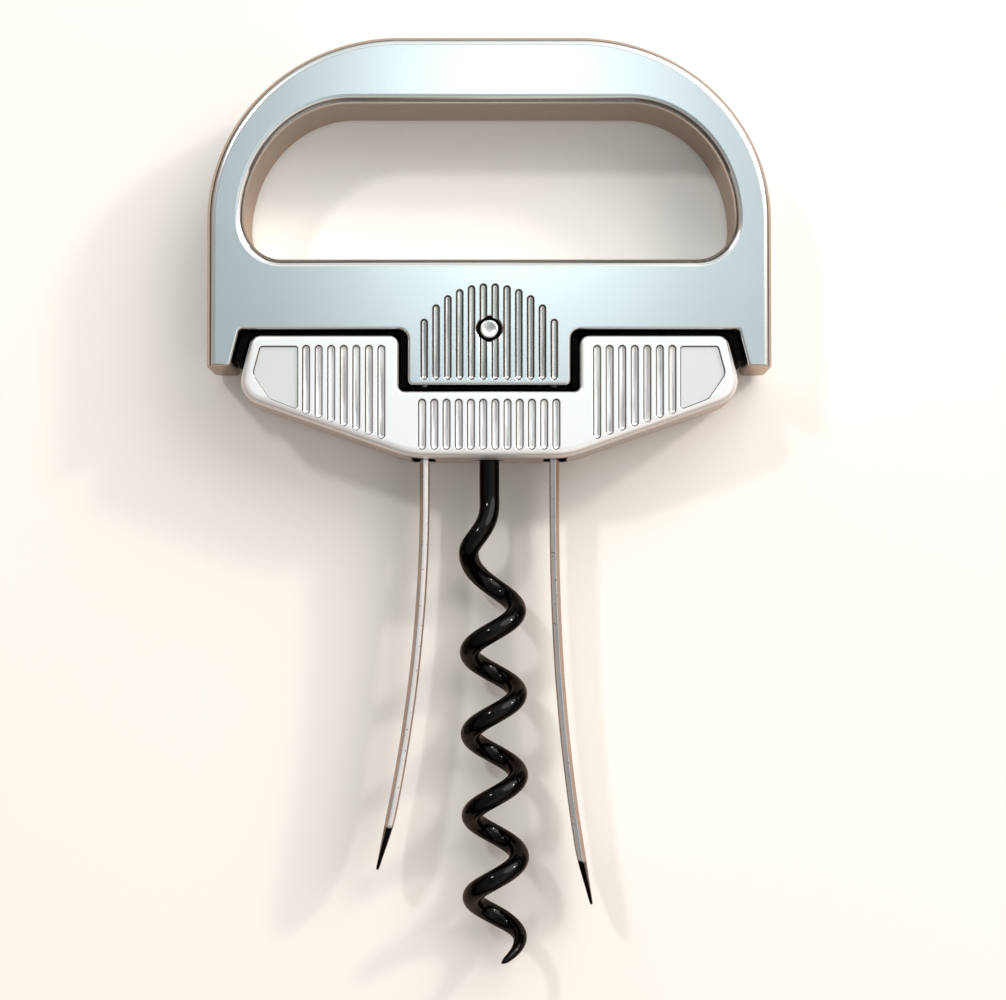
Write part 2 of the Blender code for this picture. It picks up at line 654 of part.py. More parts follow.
def blade_guides():
    """A black box round each blade's way through the bar, held by a dowel from the back."""
    for side, word in ((-1, "left"), (1, "right")):
        x = side * GUIDE_X
        part = boxes("blade_guide_" + word, ((x - GUIDE_HALF, GUIDE_BOTTOM, GUIDE_LOW),
                                             (x + GUIDE_HALF, GUIDE_TOP, GUIDE_HIGH)),
                     finish=black_nylon("guide_black_" + word))
        way = boxes("guide_way_" + word, ((x - GUIDE_BORE, 0, MID - GUIDE_WAY),
                                          (x + GUIDE_BORE, GUIDE_TOP + 0.004, MID + GUIDE_WAY)))
        hole = rod("guide_hole_" + word, (x, GUIDE_PIN_Y, 0), (x, GUIDE_PIN_Y, GUIDE_PIN_TOP + 0.0002),
                   GUIDE_PIN_R + GAP, 12)
        boolean(part, way)
        boolean(part, hole)
        turned("guide_pin_" + word, pin_profile(GUIDE_PIN_R, GUIDE_PIN_TOP), (x, GUIDE_PIN_Y, 0),
               bright_steel("guide_steel_" + word), 12)


def worm_head():
    """The head that holds the worm's shank; above the bar it is flattened into a two-pronged fork."""
    steel = bright_steel("head_steel")
    part = rod("worm_head", (0, HEAD_BOTTOM, MID), (0, HEAD_TOP, MID), HEAD_R, 24, steel)
    fork = boxes("fork", ((-FORK_HALF, FORK_ROOT, FORK_LOW), (FORK_HALF, FORK_TOP, FORK_HIGH)))
    slot = boxes("fork_slot", ((-FORK_SLOT, CATCH_Y - 0.0020, 0), (FORK_SLOT, FORK_TOP + 0.001, THICK)))
    bore = rod("shank_bore", (0, 0, MID), (0, SHANK_TOP + GAP, MID), WIRE_R + GAP, 20)
    cross = rod("head_cross_hole", (0, WORM_PIN_Y, -0.001), (0, WORM_PIN_Y, THICK), WORM_PIN_R + GAP, 12)
    boolean(part, fork, "UNION")
    for cutter in (slot, bore, cross):
        boolean(part, cutter)


def worm_points():
    """The worm's centreline, from the top of the shank to the tip, with the wire's share of its radius."""
    points = [(0, y, MID, 1.0) for y in (SHANK_TOP, 0.0100, 0.0060, 0.0025, 0.0005)]
    count = round(HELIX_TURNS * 16)
    for i in range(count + 1):
        turn = HELIX_TURNS * i / count
        angle = 2 * math.pi * turn
        opened = min(1.0, turn / 0.25)
        radius = HELIX_R * opened * opened * (3 - 2 * opened)
        lead = HELIX_LEAD * (1 - math.exp(-turn / HELIX_LEAD_TURNS))
        left = max(0.0, turn - POINT_TURNS) * POINT_DROP
        lean = min(1.0, turn / 0.25) * WORM_LEAN[0] + (WORM_LEAN[1] - WORM_LEAN[0]) * turn / HELIX_TURNS
        share = min(1.0, TAPER_SHARE + (1 - TAPER_SHARE) * (HELIX_TURNS - turn) / TAPER_TURNS)
        points.append((lean - radius * math.sin(angle), HELIX_TOP - HELIX_PITCH * turn - lead - left,
                       MID + radius * math.cos(angle), share))
    return points


def worm():
    curve = bpy.data.curves.new("worm", "CURVE")
    curve.dimensions = "3D"
    curve.bevel_depth = WIRE_R
    curve.bevel_resolution = 2
    curve.use_fill_caps = True
    spline = curve.splines.new("POLY")
    points = worm_points()
    spline.points.add(len(points) - 1)
    for point, (x, y, z, share) in zip(spline.points, points):
        point.co = (x, y, z, 1)
        point.radius = share
    guide = bpy.data.objects.new("worm_wire", curve)
    bpy.context.scene.collection.objects.link(guide)
    mesh = bpy.data.meshes.new_from_object(guide.evaluated_get(bpy.context.evaluated_depsgraph_get()))
    bpy.data.objects.remove(guide)
    shape = bmesh.new()
    shape.from_mesh(mesh)
    bmesh.ops.remove_doubles(shape, verts=shape.verts, dist=0.00001)
    shape.to_mesh(mesh)
    shape.free()
    smooth(mesh, 60)
    part = place("worm", mesh, material("worm_black", (0.006, 0.006, 0.007), 0.12, 0.0))
    cross = rod("worm_cross_hole", (0, WORM_PIN_Y, 0), (0, WORM_PIN_Y, THICK), WORM_PIN_R + GAP, 12)
    boolean(part, cross)


def worm_pin():
    turned("worm_pin", pin_profile(WORM_PIN_R, WORM_PIN_TOP), (0, WORM_PIN_Y, 0),
           bright_steel("worm_pin_steel"), 12)


clear_scene()
PARTS = new_collection(OBJECT)
CUTTERS = new_collection("cutters")
handle_frame()
seat_liner("seat_liner_left", -1)
seat_liner("seat_liner_right", 1)
blade_carrier()
handle_fasteners()
blade("short_blade", *SHORT_BLADE)
blade("long_blade", *LONG_BLADE)
catch_button()
catch_spring()
stabilizer_bar()
blade_guides()
worm_head()
worm()
worm_pin()
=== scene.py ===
import math

import bmesh
import bpy
from mathutils import Matrix, Vector


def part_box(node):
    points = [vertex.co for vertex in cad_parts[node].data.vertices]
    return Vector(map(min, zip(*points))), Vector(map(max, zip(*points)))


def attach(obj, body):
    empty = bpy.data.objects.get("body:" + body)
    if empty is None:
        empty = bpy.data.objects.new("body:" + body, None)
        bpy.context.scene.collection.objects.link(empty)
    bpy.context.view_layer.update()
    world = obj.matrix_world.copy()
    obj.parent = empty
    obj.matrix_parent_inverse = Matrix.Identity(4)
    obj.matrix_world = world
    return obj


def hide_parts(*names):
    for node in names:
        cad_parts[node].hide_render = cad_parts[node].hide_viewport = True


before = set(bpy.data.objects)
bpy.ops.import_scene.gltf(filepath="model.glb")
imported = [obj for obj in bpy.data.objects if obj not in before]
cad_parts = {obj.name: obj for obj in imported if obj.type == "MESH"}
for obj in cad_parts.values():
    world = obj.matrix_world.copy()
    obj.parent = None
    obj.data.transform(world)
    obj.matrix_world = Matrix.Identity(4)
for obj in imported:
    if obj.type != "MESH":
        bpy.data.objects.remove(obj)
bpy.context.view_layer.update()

# ---- driving dimensions, metres ------------------------------------------------------------------------
HANDLE_LOW, HANDLE_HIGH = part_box("handle_frame")
BAR_LOW, BAR_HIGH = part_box("stabilizer_bar")
FRONT = HANDLE_HIGH.z                   # the castings' front face
MID = FRONT / 2                         # height of the worm's axis and of the blades' middle
HANDLE_HALF, HANDLE_TOP = HANDLE_HIGH.x, HANDLE_HIGH.y
BAR_TOP, BELLY = BAR_HIGH.y, BAR_LOW.y

FRONT_ROUND, BACK_ROUND, FIT_ROUND = 0.0014, 0.0024, 0.00045
GRIP_BACK_ROUND = 0.0010                # rounding of the hand opening's edge at the back
RIM_STEPS = 6                           # facets across a rounded edge
SHOULDER, ARCH_FLAT = 0.0422, 0.0133
TAB_BOTTOM, TAB_INNER = 0.0204, 0.0385
RECESS_TOP, RECESS_END = 0.02585, 0.0371
BOSS_HALF, BOSS_BOTTOM = 0.0121, HANDLE_LOW.y
GRIP_HALF, GRIP_TOP, GRIP_BOTTOM = 0.0365, 0.0597, 0.0364
GRIP_ARCH_FLAT, GRIP_FOOT_FLAT = 0.0207, 0.0309

NOTCH_HALF, NOTCH_BOTTOM = 0.0135, 0.0166
WING_TOP_END, WING_CORNER, BELLY_END = (0.03527, BAR_TOP), (0.03777, 0.01595), (0.0119, BELLY)
PAD_DEEP, PAD_OUTER = 0.00038, 0.0356    # depth of a sunken pad, and how far out its floor may reach
GROOVE_DEEP = 0.00054
BOSS_PITCH, MIDDLE_PITCH, WING_PITCH = 0.001755, 0.00181, 0.001862
RELIEF_EDGE, FIT_EDGE = 0.0011, 0.0004  # how far in from an outline the relief starts

EYE_X, EYE_Y = 0.0087, 0.0220
BLADE_X, BLADE_THICK, BLADE_WIDE, BLADE_ARCH = 0.01005, 0.0009, 0.0066, 0.00055
FLARE_START = 0.002
SHORT_FLARE, LONG_FLARE = (0.0068, 2.0), (0.0053, 2.3)     # reach at the tip, power
CATCH_Y = 0.0259
GUIDE_X = 0.0099
MOUTH_HALF, MOUTH_STRAIGHT = 0.0017, 0.0029                # a blade's slot: half width, half its straight sides
SHANK_BORE, DOWEL_R = 0.00215, 0.0009
TONGUE, TIP_THIN = 0.0075, 0.42         # length of a blade's drawn-out end, and its thickness there
BLACK_TIP_LENGTH = 0.0068                      # how far up from its tip a blade is black
EYE_R, EYE_BORE = 0.00175, 0.00115
BUTTON_HOLE, PLUG_HOLE = 0.0018, 0.0036
VIEW_WIDE = 0.1488166                   # width of the view at the castings' front face
SKY_BANDS = [(0.0, (0.04, 0.03, 0.024)), (0.25, (0.14, 0.10, 0.08)), (0.50, (0.62, 0.51, 0.44)),
             (0.80, (0.82, 0.75, 0.70)), (0.94, (0.55, 0.59, 0.60)), (1.0, (0.52, 0.58, 0.60))]
PANEL_COLOUR = (0.88, 1.0, 1.02)


# ---- small tools -------------------------------------------------------------------------------------
class Graph:
    """A node tree that is written as calls: every value is a socket or a plain number."""

    def __init__(self, name, kind="GeometryNodeTree"):
        self.tree = bpy.data.node_groups.new(name, kind)
        self.entry = self.tree.nodes.new("NodeGroupInput")
        self.exit = self.tree.nodes.new("NodeGroupOutput")

    def input(self, name, value=None, kind="NodeSocketFloat"):
        made = self.tree.interface.new_socket(name, in_out="INPUT", socket_type=kind)
        if value is not None:
            made.default_value = value
        return self.entry.outputs[name]

    def output(self, name, socket, kind="NodeSocketGeometry"):
        self.tree.interface.new_socket(name, in_out="OUTPUT", socket_type=kind)
        self.tree.links.new(socket, self.exit.inputs[name])

    def node(self, kind, values=None, **settings):
        made = self.tree.nodes.new(kind)
        for key, value in settings.items():
            setattr(made, key, value)
        for key, value in (values or {}).items():
            self.give(made.inputs[key], value)
        return made

    def give(self, socket, value):
        if isinstance(value, bpy.types.NodeSocket):
            self.tree.links.new(value, socket)
        else:
            socket.default_value = value

    def math(self, operation, *values):
        made = self.node("ShaderNodeMath", dict(enumerate(values)), operation=operation)
        return made.outputs[0]

    def add(self, a, b):
        return self.math("ADD", a, b)

    def sub(self, a, b):
        return self.math("SUBTRACT", a, b)

    def mul(self, a, b):
        return self.math("MULTIPLY", a, b)

    def div(self, a, b):
        return self.math("DIVIDE", a, b)

    def mix(self, share, a, b):
        """a where share is 0, b where it is 1."""
        return self.add(a, self.mul(share, self.sub(b, a)))

    def above(self, a, b):
        return self.math("GREATER_THAN", a, b)

    def xyz(self, x, y, z):
        return self.node("ShaderNodeCombineXYZ", {0: x, 1: y, 2: z}).outputs[0]

    def split(self, vector):
        return self.node("ShaderNodeSeparateXYZ", {0: vector}).outputs


def link(name, mesh):
    made = bpy.data.objects.new(name, mesh)
    bpy.context.scene.collection.objects.link(made)
    return made


def built(name, shape):
    """A finished bmesh as an object."""
    mesh = bpy.data.meshes.new(name)
    shape.to_mesh(mesh)
    shape.free()
    return link(name, mesh)


def settled(item, name):
    """The evaluated object as a plain mesh object of that name; the first object is removed."""
    seen = item.evaluated_get(bpy.context.evaluated_depsgraph_get())
    mesh = bpy.data.meshes.new_from_object(seen)
    mesh.name = name
    mesh.transform(item.matrix_world)
    bpy.data.objects.remove(item)
    return link(name, mesh)


def applied(part):
    """The part as its modifiers leave it, under its own name."""
    return settled(part, part.name)


def grown(graph, name, **inputs):
    """A plain mesh grown by a Geometry Nodes tree with these named inputs."""
    item = link(name + "_seed", bpy.data.meshes.new(name + "_seed"))
    modifier = item.modifiers.new("grow", "NODES")
    modifier.node_group = graph.tree
    for socket in graph.tree.interface.items_tree:
        if socket.in_out == "INPUT" and socket.name in inputs:
            modifier[socket.identifier] = inputs[socket.name]
    return settled(item, name)


def arc(centre, radii, start, end, steps):
    """Points along an elliptical arc, its angles in degrees."""
    points = []
    for i in range(steps + 1):
        angle = math.radians(start + (end - start) * i / steps)
        points.append((centre[0] + radii[0] * math.cos(angle), centre[1] + radii[1] * math.sin(angle)))
    return points


def rounded(corner, before, after, radius, steps=6):
    """The corner of an outline, as the arc of the given radius that touches both of its sides."""
    corner, before, after = Vector(corner), Vector(before), Vector(after)
    back, ahead = (before - corner).normalized(), (after - corner).normalized()
    half = back.angle(ahead) / 2
    reach = radius / math.tan(half)
    centre = corner + (back + ahead).normalized() * radius / math.sin(half)
    first, last = corner + back * reach - centre, corner + ahead * reach - centre
    sweep = first.angle_signed(last)
    return [tuple(centre + Matrix.Rotation(-sweep * i / steps, 2) @ first) for i in range(steps + 1)]


def corners_rounded(corners, first, last):
    """Points round (x, y, radius) corners that run from the point first to the point last."""
    spots = [first] + [corner[:2] for corner in corners] + [last]
    points = []
    for i, (x, y, radius) in enumerate(corners):
        points += rounded((x, y), spots[i], spots[i + 2], radius)
    return points


def mirrored(half):
    """A closed outline from its right half, listed from the axis of symmetry round to it again."""
    return half + [(-x, y) for x, y in reversed(half) if abs(x) > 1e-6]


def plate(name, outline, low, high):
    """A flat outline with thickness, its faces undivided."""
    curve = bpy.data.curves.new(name, "CURVE")
    curve.dimensions = "2D"
    curve.fill_mode = "BOTH"
    curve.extrude = (high - low) / 2
    spline = curve.splines.new("POLY")
    spline.points.add(len(outline) - 1)
    for point, (x, y) in zip(spline.points, outline):
        point.co = (x, y, 0, 1)
    spline.use_cyclic_u = True
    part = settled(link(name + "_curve", curve), name)
    shape = bmesh.new()
    shape.from_mesh(part.data)
    bmesh.ops.remove_doubles(shape, verts=shape.verts, dist=0.00001)
    bmesh.ops.dissolve_limit(shape, angle_limit=math.radians(0.5), verts=shape.verts, edges=shape.edges)
    bmesh.ops.recalc_face_normals(shape, faces=shape.faces)
    bmesh.ops.translate(shape, verts=shape.verts, vec=(0, 0, (high + low) / 2))
    shape.to_mesh(part.data)
    shape.free()
    return part


def stack(name, rings):
    """A closed shape through rings of as many points each, from the lowest to the highest."""
    shape = bmesh.new()
    rows = [[shape.verts.new(point) for point in ring] for ring in rings]
    for lower, upper in zip(rows, rows[1:]):
        for i in range(len(lower)):
            j = (i + 1) % len(lower)
            shape.faces.new((lower[i], lower[j], upper[j], upper[i]))
    shape.faces.new(rows[0])
    shape.faces.new(rows[-1])
    bmesh.ops.recalc_face_normals(shape, faces=shape.faces)
    return built(name, shape)


def moved_out(outline, by):
    """A closed outline moved outwards by a distance, or by one for each point."""
    distances = by if isinstance(by, list) else [by] * len(outline)
    area = sum(a[0] * b[1] - b[0] * a[1] for a, b in zip(outline, outline[1:] + outline[:1]))
    points = []
    for i, distance in enumerate(distances):
        before, here, after = (Vector(outline[k % len(outline)]) for k in (i - 1, i, i + 1))
        way_in, way_out = (here - before).normalized(), (after - here).normalized()
        along = (way_in + way_out).normalized()
        outward = Vector((along.y, -along.x)) * math.copysign(1.0, area)
        points.append(here + outward * distance / max(0.3, along.dot(way_in)))
    return points


def round_plate(name, outline, rim):
    """A plate with the castings' thickness; rim(x, y) gives the radii of its front and its back edge."""
    radii = [rim(x, y) for x, y in outline]
    rings = []
    for which, sign in ((1, 1), (0, -1)):
        for i in range(RIM_STEPS + 1):
            turn = math.pi / 2 * (i if which else RIM_STEPS - i) / RIM_STEPS
            inset = [-pair[which] * (1 - math.sin(turn)) for pair in radii]
            depth = [pair[which] * (1 - math.cos(turn)) for pair in radii]
            rings.append([(x, y, deep if which else FRONT - deep)
                          for (x, y), deep in zip(moved_out(outline, inset), depth)])
    return stack(name, rings)


def lathe(name, profile, where, steps=48, axis="Z"):
    """A turned shape from (radius, height) pairs; its axis stands at where."""
    shape = bmesh.new()
    verts = [shape.verts.new((radius, 0, height)) for radius, height in profile]
    edges = [shape.edges.new(pair) for pair in zip(verts, verts[1:])]
    bmesh.ops.spin(shape, geom=verts + edges, axis=(0, 0, 1), cent=(0, 0, 0), angle=2 * math.pi, steps=steps)
    bmesh.ops.remove_doubles(shape, verts=shape.verts, dist=0.000002)
    bmesh.ops.recalc_face_normals(shape, faces=shape.faces)
    if axis == "Y":
        bmesh.ops.rotate(shape, verts=shape.verts, matrix=Matrix.Rotation(math.radians(-90), 3, "X"))
    bmesh.ops.translate(shape, verts=shape.verts, vec=where)
    return built(name, shape)


def block(name, low, high):
    """A box between two corners, for cutting with."""
    shape = bmesh.new()
    size = [high[i] - low[i] for i in range(3)]
    middle = [(high[i] + low[i]) / 2 for i in range(3)]
    bmesh.ops.create_cube(shape, size=1.0, matrix=Matrix.Translation(middle) @ Matrix.Diagonal((*size, 1.0)))
    return built(name, shape)


def cut(part, cutters, operation="DIFFERENCE"):
    """Cut the part with each cutter in turn, and remove the cutters."""
    for cutter in cutters:
        modifier = part.modifiers.new("cut", "BOOLEAN")
        modifier.operation = operation
        modifier.solver = "EXACT"
        modifier.object = cutter
        part = applied(part)
        bpy.data.objects.remove(cutter)
    return part


def finish_mesh(part, finish, sharp=35):
    """Smooth shading that keeps flat faces flat, and one material."""
    mesh = part.data
    mesh.materials.clear()
    mesh.materials.append(finish)
    mesh.shade_smooth()
    mesh.set_sharp_from_angle(angle=math.radians(sharp))
    weigh = part.modifiers.new("flat_faces", "WEIGHTED_NORMAL")
    weigh.keep_sharp = True
    weigh.weight = 100
    return applied(part)


def mark_relief(part, *edges):
    """A point attribute that is 1 further in than the rounded rims.

    The edges are pairs of an outline and the width of its rim.
    """
    marks = []
    for vert in part.data.vertices:
        spot, inside = vert.co.xy, 1.0
        for outline, width in edges:
            for a, b in zip(outline, outline[1:] + outline[:1]):
                side = Vector(b) - Vector(a)
                share = min(1.0, max(0.0, (spot - Vector(a)).dot(side) / side.length_squared))
                if (spot - Vector(a) - side * share).length < width:
                    inside = 0.0
        sunken = FRONT - PAD_DEEP * 1.01 < vert.co.z < FRONT - PAD_DEEP * 0.5
        on_pad = sunken and BELLY_END[0] < abs(spot.x) < PAD_OUTER
        marks.append(1.0 if on_pad else inside)
    attribute = part.data.attributes.new("relief", "FLOAT", "POINT")
    attribute.data.foreach_set("value", marks)
    return part


def mark_bore_shade(part, inside):
    """A point attribute that is 1 on the walls of the holes that the blades and the worm come out of, where
    black is painted as shade.
    """
    attribute = part.data.attributes.new("bore", "FLOAT", "POINT")
    attribute.data.foreach_set("value", [float(inside(*vert.co)) for vert in part.data.vertices])
    return part


def show(part, body, slot, *nodes):
    """The piece rides on a body and stands for CAD nodes; slot is not used."""
    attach(part, body)
    if nodes:
        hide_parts(*nodes)
    return part


# ---- shader groups -----------------------------------------------------------------------------------
def fade(g, value, zero, one):
    """0 up to one edge and 1 from the other on, with a soft step between."""
    share = g.div(g.sub(value, zero), g.sub(one, zero))
    share = g.math("MINIMUM", g.math("MAXIMUM", share, 0.0), 1.0)
    return g.mul(g.mul(share, share), g.sub(3.0, g.mul(share, 2.0)))


def mottle_group():
    """Soft cloudiness and fine grain: a roughness, a tone near 1 and a height that vary over the surface."""
    g = Graph("mottle", "ShaderNodeTree")
    low = g.input("Roughness Low", 0.2)
    high = g.input("Roughness High", 0.3)
    cloud_size = g.input("Cloud Scale", 60.0)
    grain_size = g.input("Grain Scale", 2500.0)
    spread = g.input("Tone Spread", 0.05)
    where = g.node("ShaderNodeTexCoord").outputs["Object"]
    cloud = g.node("ShaderNodeTexNoise", {"Vector": where, "Scale": cloud_size, "Detail": 3.0}).outputs[0]
    grain = g.node("ShaderNodeTexNoise", {"Vector": where, "Scale": grain_size, "Detail": 2.0}).outputs[0]
    both = g.add(g.mul(cloud, 0.65), g.mul(grain, 0.35))
    g.output("Roughness", g.mix(both, low, high), "NodeSocketFloat")
    g.output("Tone", g.add(1.0, g.mul(spread, g.sub(cloud, 0.5))), "NodeSocketFloat")
    g.output("Height", grain, "NodeSocketFloat")
    return g


def depth_group():
    """How far below the front a point lies, 1 on the face and 0 at the given depth, and the flanks between."""
    g = Graph("sunken", "ShaderNodeTree")
    front = g.input("Front", 0.015)
    deep = g.input("Depth", 0.0005)
    low, high = g.input("Flank Low", 0.25), g.input("Flank High", 0.93)
    where = g.node("ShaderNodeTexCoord").outputs["Object"]
    level = g.div(g.sub(g.split(where)[2], g.sub(front, deep)), deep)
    level = g.math("MINIMUM", g.math("MAXIMUM", level, 0.0), 1.0)
    flank = g.mul(fade(g, level, low, g.add(low, 0.15)), fade(g, level, high, g.sub(high, 0.12)))
    g.output("Level", level, "NodeSocketFloat")
    g.output("Flank", flank, "NodeSocketFloat")
    g.output("Floor", fade(g, level, 0.22, 0.06), "NodeSocketFloat")
    return g


def streak_group():
    """Long uneven streaks running up and down."""
    g = Graph("streaks", "ShaderNodeTree")
    across, along = g.input("Across", 1900.0), g.input("Along", 130.0)
    where = g.node("ShaderNodeTexCoord").outputs["Object"]
    scaled = g.node("ShaderNodeVectorMath", {0: where, 1: g.xyz(across, along, across)}, operation="MULTIPLY")
    lines = g.node("ShaderNodeTexNoise", {"Vector": scaled.outputs[0], "Scale": 1.0, "Detail": 2.0}).outputs[0]
    g.output("Streaks", fade(g, lines, 0.62, 0.38), "NodeSocketFloat")
    return g


def pitting_group():
    """Scattered fine pits: a mask and a height."""
    g = Graph("pitting", "ShaderNodeTree")
    size, share = g.input("Scale", 1900.0), g.input("Share", 0.27)
    where = g.node("ShaderNodeTexCoord").outputs["Object"]
    spots = g.node("ShaderNodeTexNoise", {"Vector": where, "Scale": size, "Detail": 1.0}).outputs[0]
    pits = fade(g, spots, g.add(share, 0.05), share)
    g.output("Pits", pits, "NodeSocketFloat")
    g.output("Height", g.sub(1.0, pits), "NodeSocketFloat")
    return g


def black_tip_group():
    """1 below a height, with a slightly ragged edge."""
    g = Graph("black_tip", "ShaderNodeTree")
    start = g.input("Start", -0.05)
    where = g.node("ShaderNodeTexCoord").outputs["Object"]
    ragged = g.node("ShaderNodeTexNoise", {"Vector": where, "Scale": 900.0, "Detail": 2.0}).outputs[0]
    y = g.add(g.split(where)[1], g.mul(g.sub(ragged, 0.5), 0.0012))
    g.output("Mask", fade(g, y, start, g.sub(start, 0.0005)), "NodeSocketFloat")
    return g


MOTTLE = mottle_group()
SUNKEN = depth_group()
STREAKS = streak_group()
PITTING = pitting_group()
BLACK_TIP = black_tip_group()


class Finish:
    """A material with one Principled BSDF, written as calls."""

    def __init__(self, name, colour, roughness, metallic=0.0, **sockets):
        self.material = bpy.data.materials.new(name)
        self.material.use_nodes = True
        self.tree = self.material.node_tree
        self.shader = self.tree.nodes["Principled BSDF"]
        self.shader.inputs["Base Color"].default_value = (*colour, 1.0)
        self.shader.inputs["Roughness"].default_value = roughness
        self.shader.inputs["Metallic"].default_value = metallic
        for key, value in sockets.items():
            self.shader.inputs[key.replace("_", " ")].default_value = value

    def node(self, kind, values=None, **settings):
        made = self.tree.nodes.new(kind)
        for key, value in settings.items():
            setattr(made, key, value)
        for key, value in (values or {}).items():
            if isinstance(value, bpy.types.NodeSocket):
                self.tree.links.new(value, made.inputs[key])
            else:
                made.inputs[key].default_value = value
        return made

    def group(self, graph, **values):
        made = self.node("ShaderNodeGroup", node_tree=graph.tree)
        for key, value in values.items():
            made.inputs[key.replace("_", " ")].default_value = value
        return made

    def into(self, socket, name):
        self.tree.links.new(socket, self.shader.inputs[name])

    def times(self, first, second):
        return self.node("ShaderNodeMath", {0: first, 1: second}, operation="MULTIPLY").outputs[0]

    def mixed(self, share, first, second, blend="MIX"):
        """The first colour where share is 0, the second where it is 1; each a colour or a socket."""
        made = self.tree.nodes.new("ShaderNodeMix")
        made.data_type, made.blend_type = "RGBA", blend
        for place, value in ((0, share), (6, first), (7, second)):
            if isinstance(value, bpy.types.NodeSocket):
                self.tree.links.new(value, made.inputs[place])
            else:
                made.inputs[place].default_value = value if place == 0 else (*value, 1.0)
        return made.outputs[2]

    def tone(self, colour, share):
        """A colour times a value that varies over the surface."""
        return self.mixed(1.0, colour, share, "MULTIPLY")

    def bump(self, height, strength, distance):
        made = self.node("ShaderNodeBump", {"Height": height, "Strength": strength, "Distance": distance})
        self.into(made.outputs[0], "Normal")


def cast_metal(name, colour, low, high, deep, metallic=1.0):
    """Pearl-like satin plating on a die casting: slightly cloudy, finely grained, with painted shade on the
    flanks of its relief, a painted sheen and painted dark streaks on the relief's floors, and painted black
    shade in the bores.
    """
    made = Finish(name, colour, low, metallic=metallic)
    mottle = made.group(MOTTLE, Roughness_Low=low, Roughness_High=high, Cloud_Scale=55.0,
                        Grain_Scale=2600.0, Tone_Spread=0.05)
    relief = made.group(SUNKEN, Front=FRONT, Depth=deep)
    inward = made.node("ShaderNodeAttribute", attribute_name="relief").outputs["Fac"]
    sunk = made.times(inward, made.node("ShaderNodeMath", {0: 1.0, 1: relief.outputs["Level"]},
                                        operation="SUBTRACT").outputs[0])
    streaks = made.group(STREAKS).outputs["Streaks"]
    # Painted sheen: the relief's sunken floors are painted 6 % lighter, then painted dark streaks run along the
    # groove floors in place of reflections.
    relief_sheen = made.mixed(sunk, colour, [min(1.0, 1.06 * part) for part in colour])
    relief_sheen = made.mixed(made.times(relief.outputs["Floor"], made.times(inward, streaks)), relief_sheen,
                      [0.62 * part for part in colour])
    # Painted shade: the flanks of the relief are painted a dark brown.
    flank_shade = made.mixed(made.times(inward, relief.outputs["Flank"]), relief_sheen, (0.10, 0.085, 0.075))
    # Painted shade: the walls of the blade slots and the worm's bore are painted black.
    bore_shade = made.node("ShaderNodeAttribute", attribute_name="bore").outputs["Fac"]
    flank_shade = made.mixed(bore_shade, flank_shade, (0.004, 0.004, 0.004))
    made.into(made.tone(flank_shade, mottle.outputs["Tone"]), "Base Color")
    made.into(mottle.outputs["Roughness"], "Roughness")
    made.bump(mottle.outputs["Height"], 0.06, 0.00002)
    return made.material


def spring_steel(name, colour, low, high, tip=None):
    """Rolled steel, finely pitted; below the height tip it is black."""
    made = Finish(name, colour, low, metallic=1.0)
    mottle = made.group(MOTTLE, Roughness_Low=low, Roughness_High=high, Cloud_Scale=160.0,
                        Grain_Scale=3500.0, Tone_Spread=0.25)
    pits = made.group(PITTING)
    shade = made.mixed(pits.outputs["Pits"], colour, [0.5 * part for part in colour])
    if tip is not None:
        black_tip = made.group(BLACK_TIP, Start=tip)
        shade = made.mixed(black_tip.outputs["Mask"], shade, (0.004, 0.004, 0.004))
    made.into(made.tone(shade, mottle.outputs["Tone"]), "Base Color")
    made.into(mottle.outputs["Roughness"], "Roughness")
    made.bump(pits.outputs["Height"], 0.1, 0.00004)
    return made.material


def button_steel(name):
    """Bright steel whose flange, down in the hole, is painted dark as shade."""
    made = Finish(name, (0.95, 0.96, 0.96), 0.3, metallic=1.0)
    mottle = made.group(MOTTLE, Roughness_Low=0.24, Roughness_High=0.36, Cloud_Scale=500.0,
                        Grain_Scale=3500.0, Tone_Spread=0.3)
    relief = made.group(SUNKEN, Front=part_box("catch_button")[1].z, Depth=0.0006)
    # Painted shade: below the button's top the steel is painted near black.
    hole_shade = made.mixed(relief.outputs["Level"], (0.01, 0.01, 0.01), (0.95, 0.96, 0.96))
    made.into(made.tone(hole_shade, mottle.outputs["Tone"]), "Base Color")
    made.into(mottle.outputs["Roughness"], "Roughness")
    made.bump(mottle.outputs["Height"], 0.2, 0.00003)
    return made.material


def black_coating(name):
    """Thick glossy non-stick coating, not quite even."""
    made = Finish(name, (0.0002, 0.0002, 0.0002), 0.04, Specular_IOR_Level=0.18)
    mottle = made.group(MOTTLE, Roughness_Low=0.04, Roughness_High=0.09, Cloud_Scale=260.0,
                        Grain_Scale=1400.0, Tone_Spread=0.3)
    made.into(mottle.outputs["Roughness"], "Roughness")
    made.bump(mottle.outputs["Height"], 0.12, 0.00004)
    return made.material


def black_nylon(name):
    """Matt moulded nylon."""
    made = Finish(name, (0.001, 0.001, 0.001), 0.7, Specular_IOR_Level=0.04)
    mottle = made.group(MOTTLE, Roughness_Low=0.5, Roughness_High=0.75, Cloud_Scale=200.0,
                        Grain_Scale=2200.0, Tone_Spread=0.2)
    made.into(mottle.outputs["Roughness"], "Roughness")
    made.bump(mottle.outputs["Height"], 0.3, 0.00004)
    return made.material


# ---- geometry trees ----------------------------------------------------------------------------------
def ended_in(g, geometry, material):
    """The last two nodes of every tree."""
    real = g.node("GeometryNodeRealizeInstances", {"Geometry": geometry})
    coated = g.node("GeometryNodeSetMaterial", {"Geometry": real.outputs[0], "Material": material})
    g.output("Geometry", coated.outputs[0])


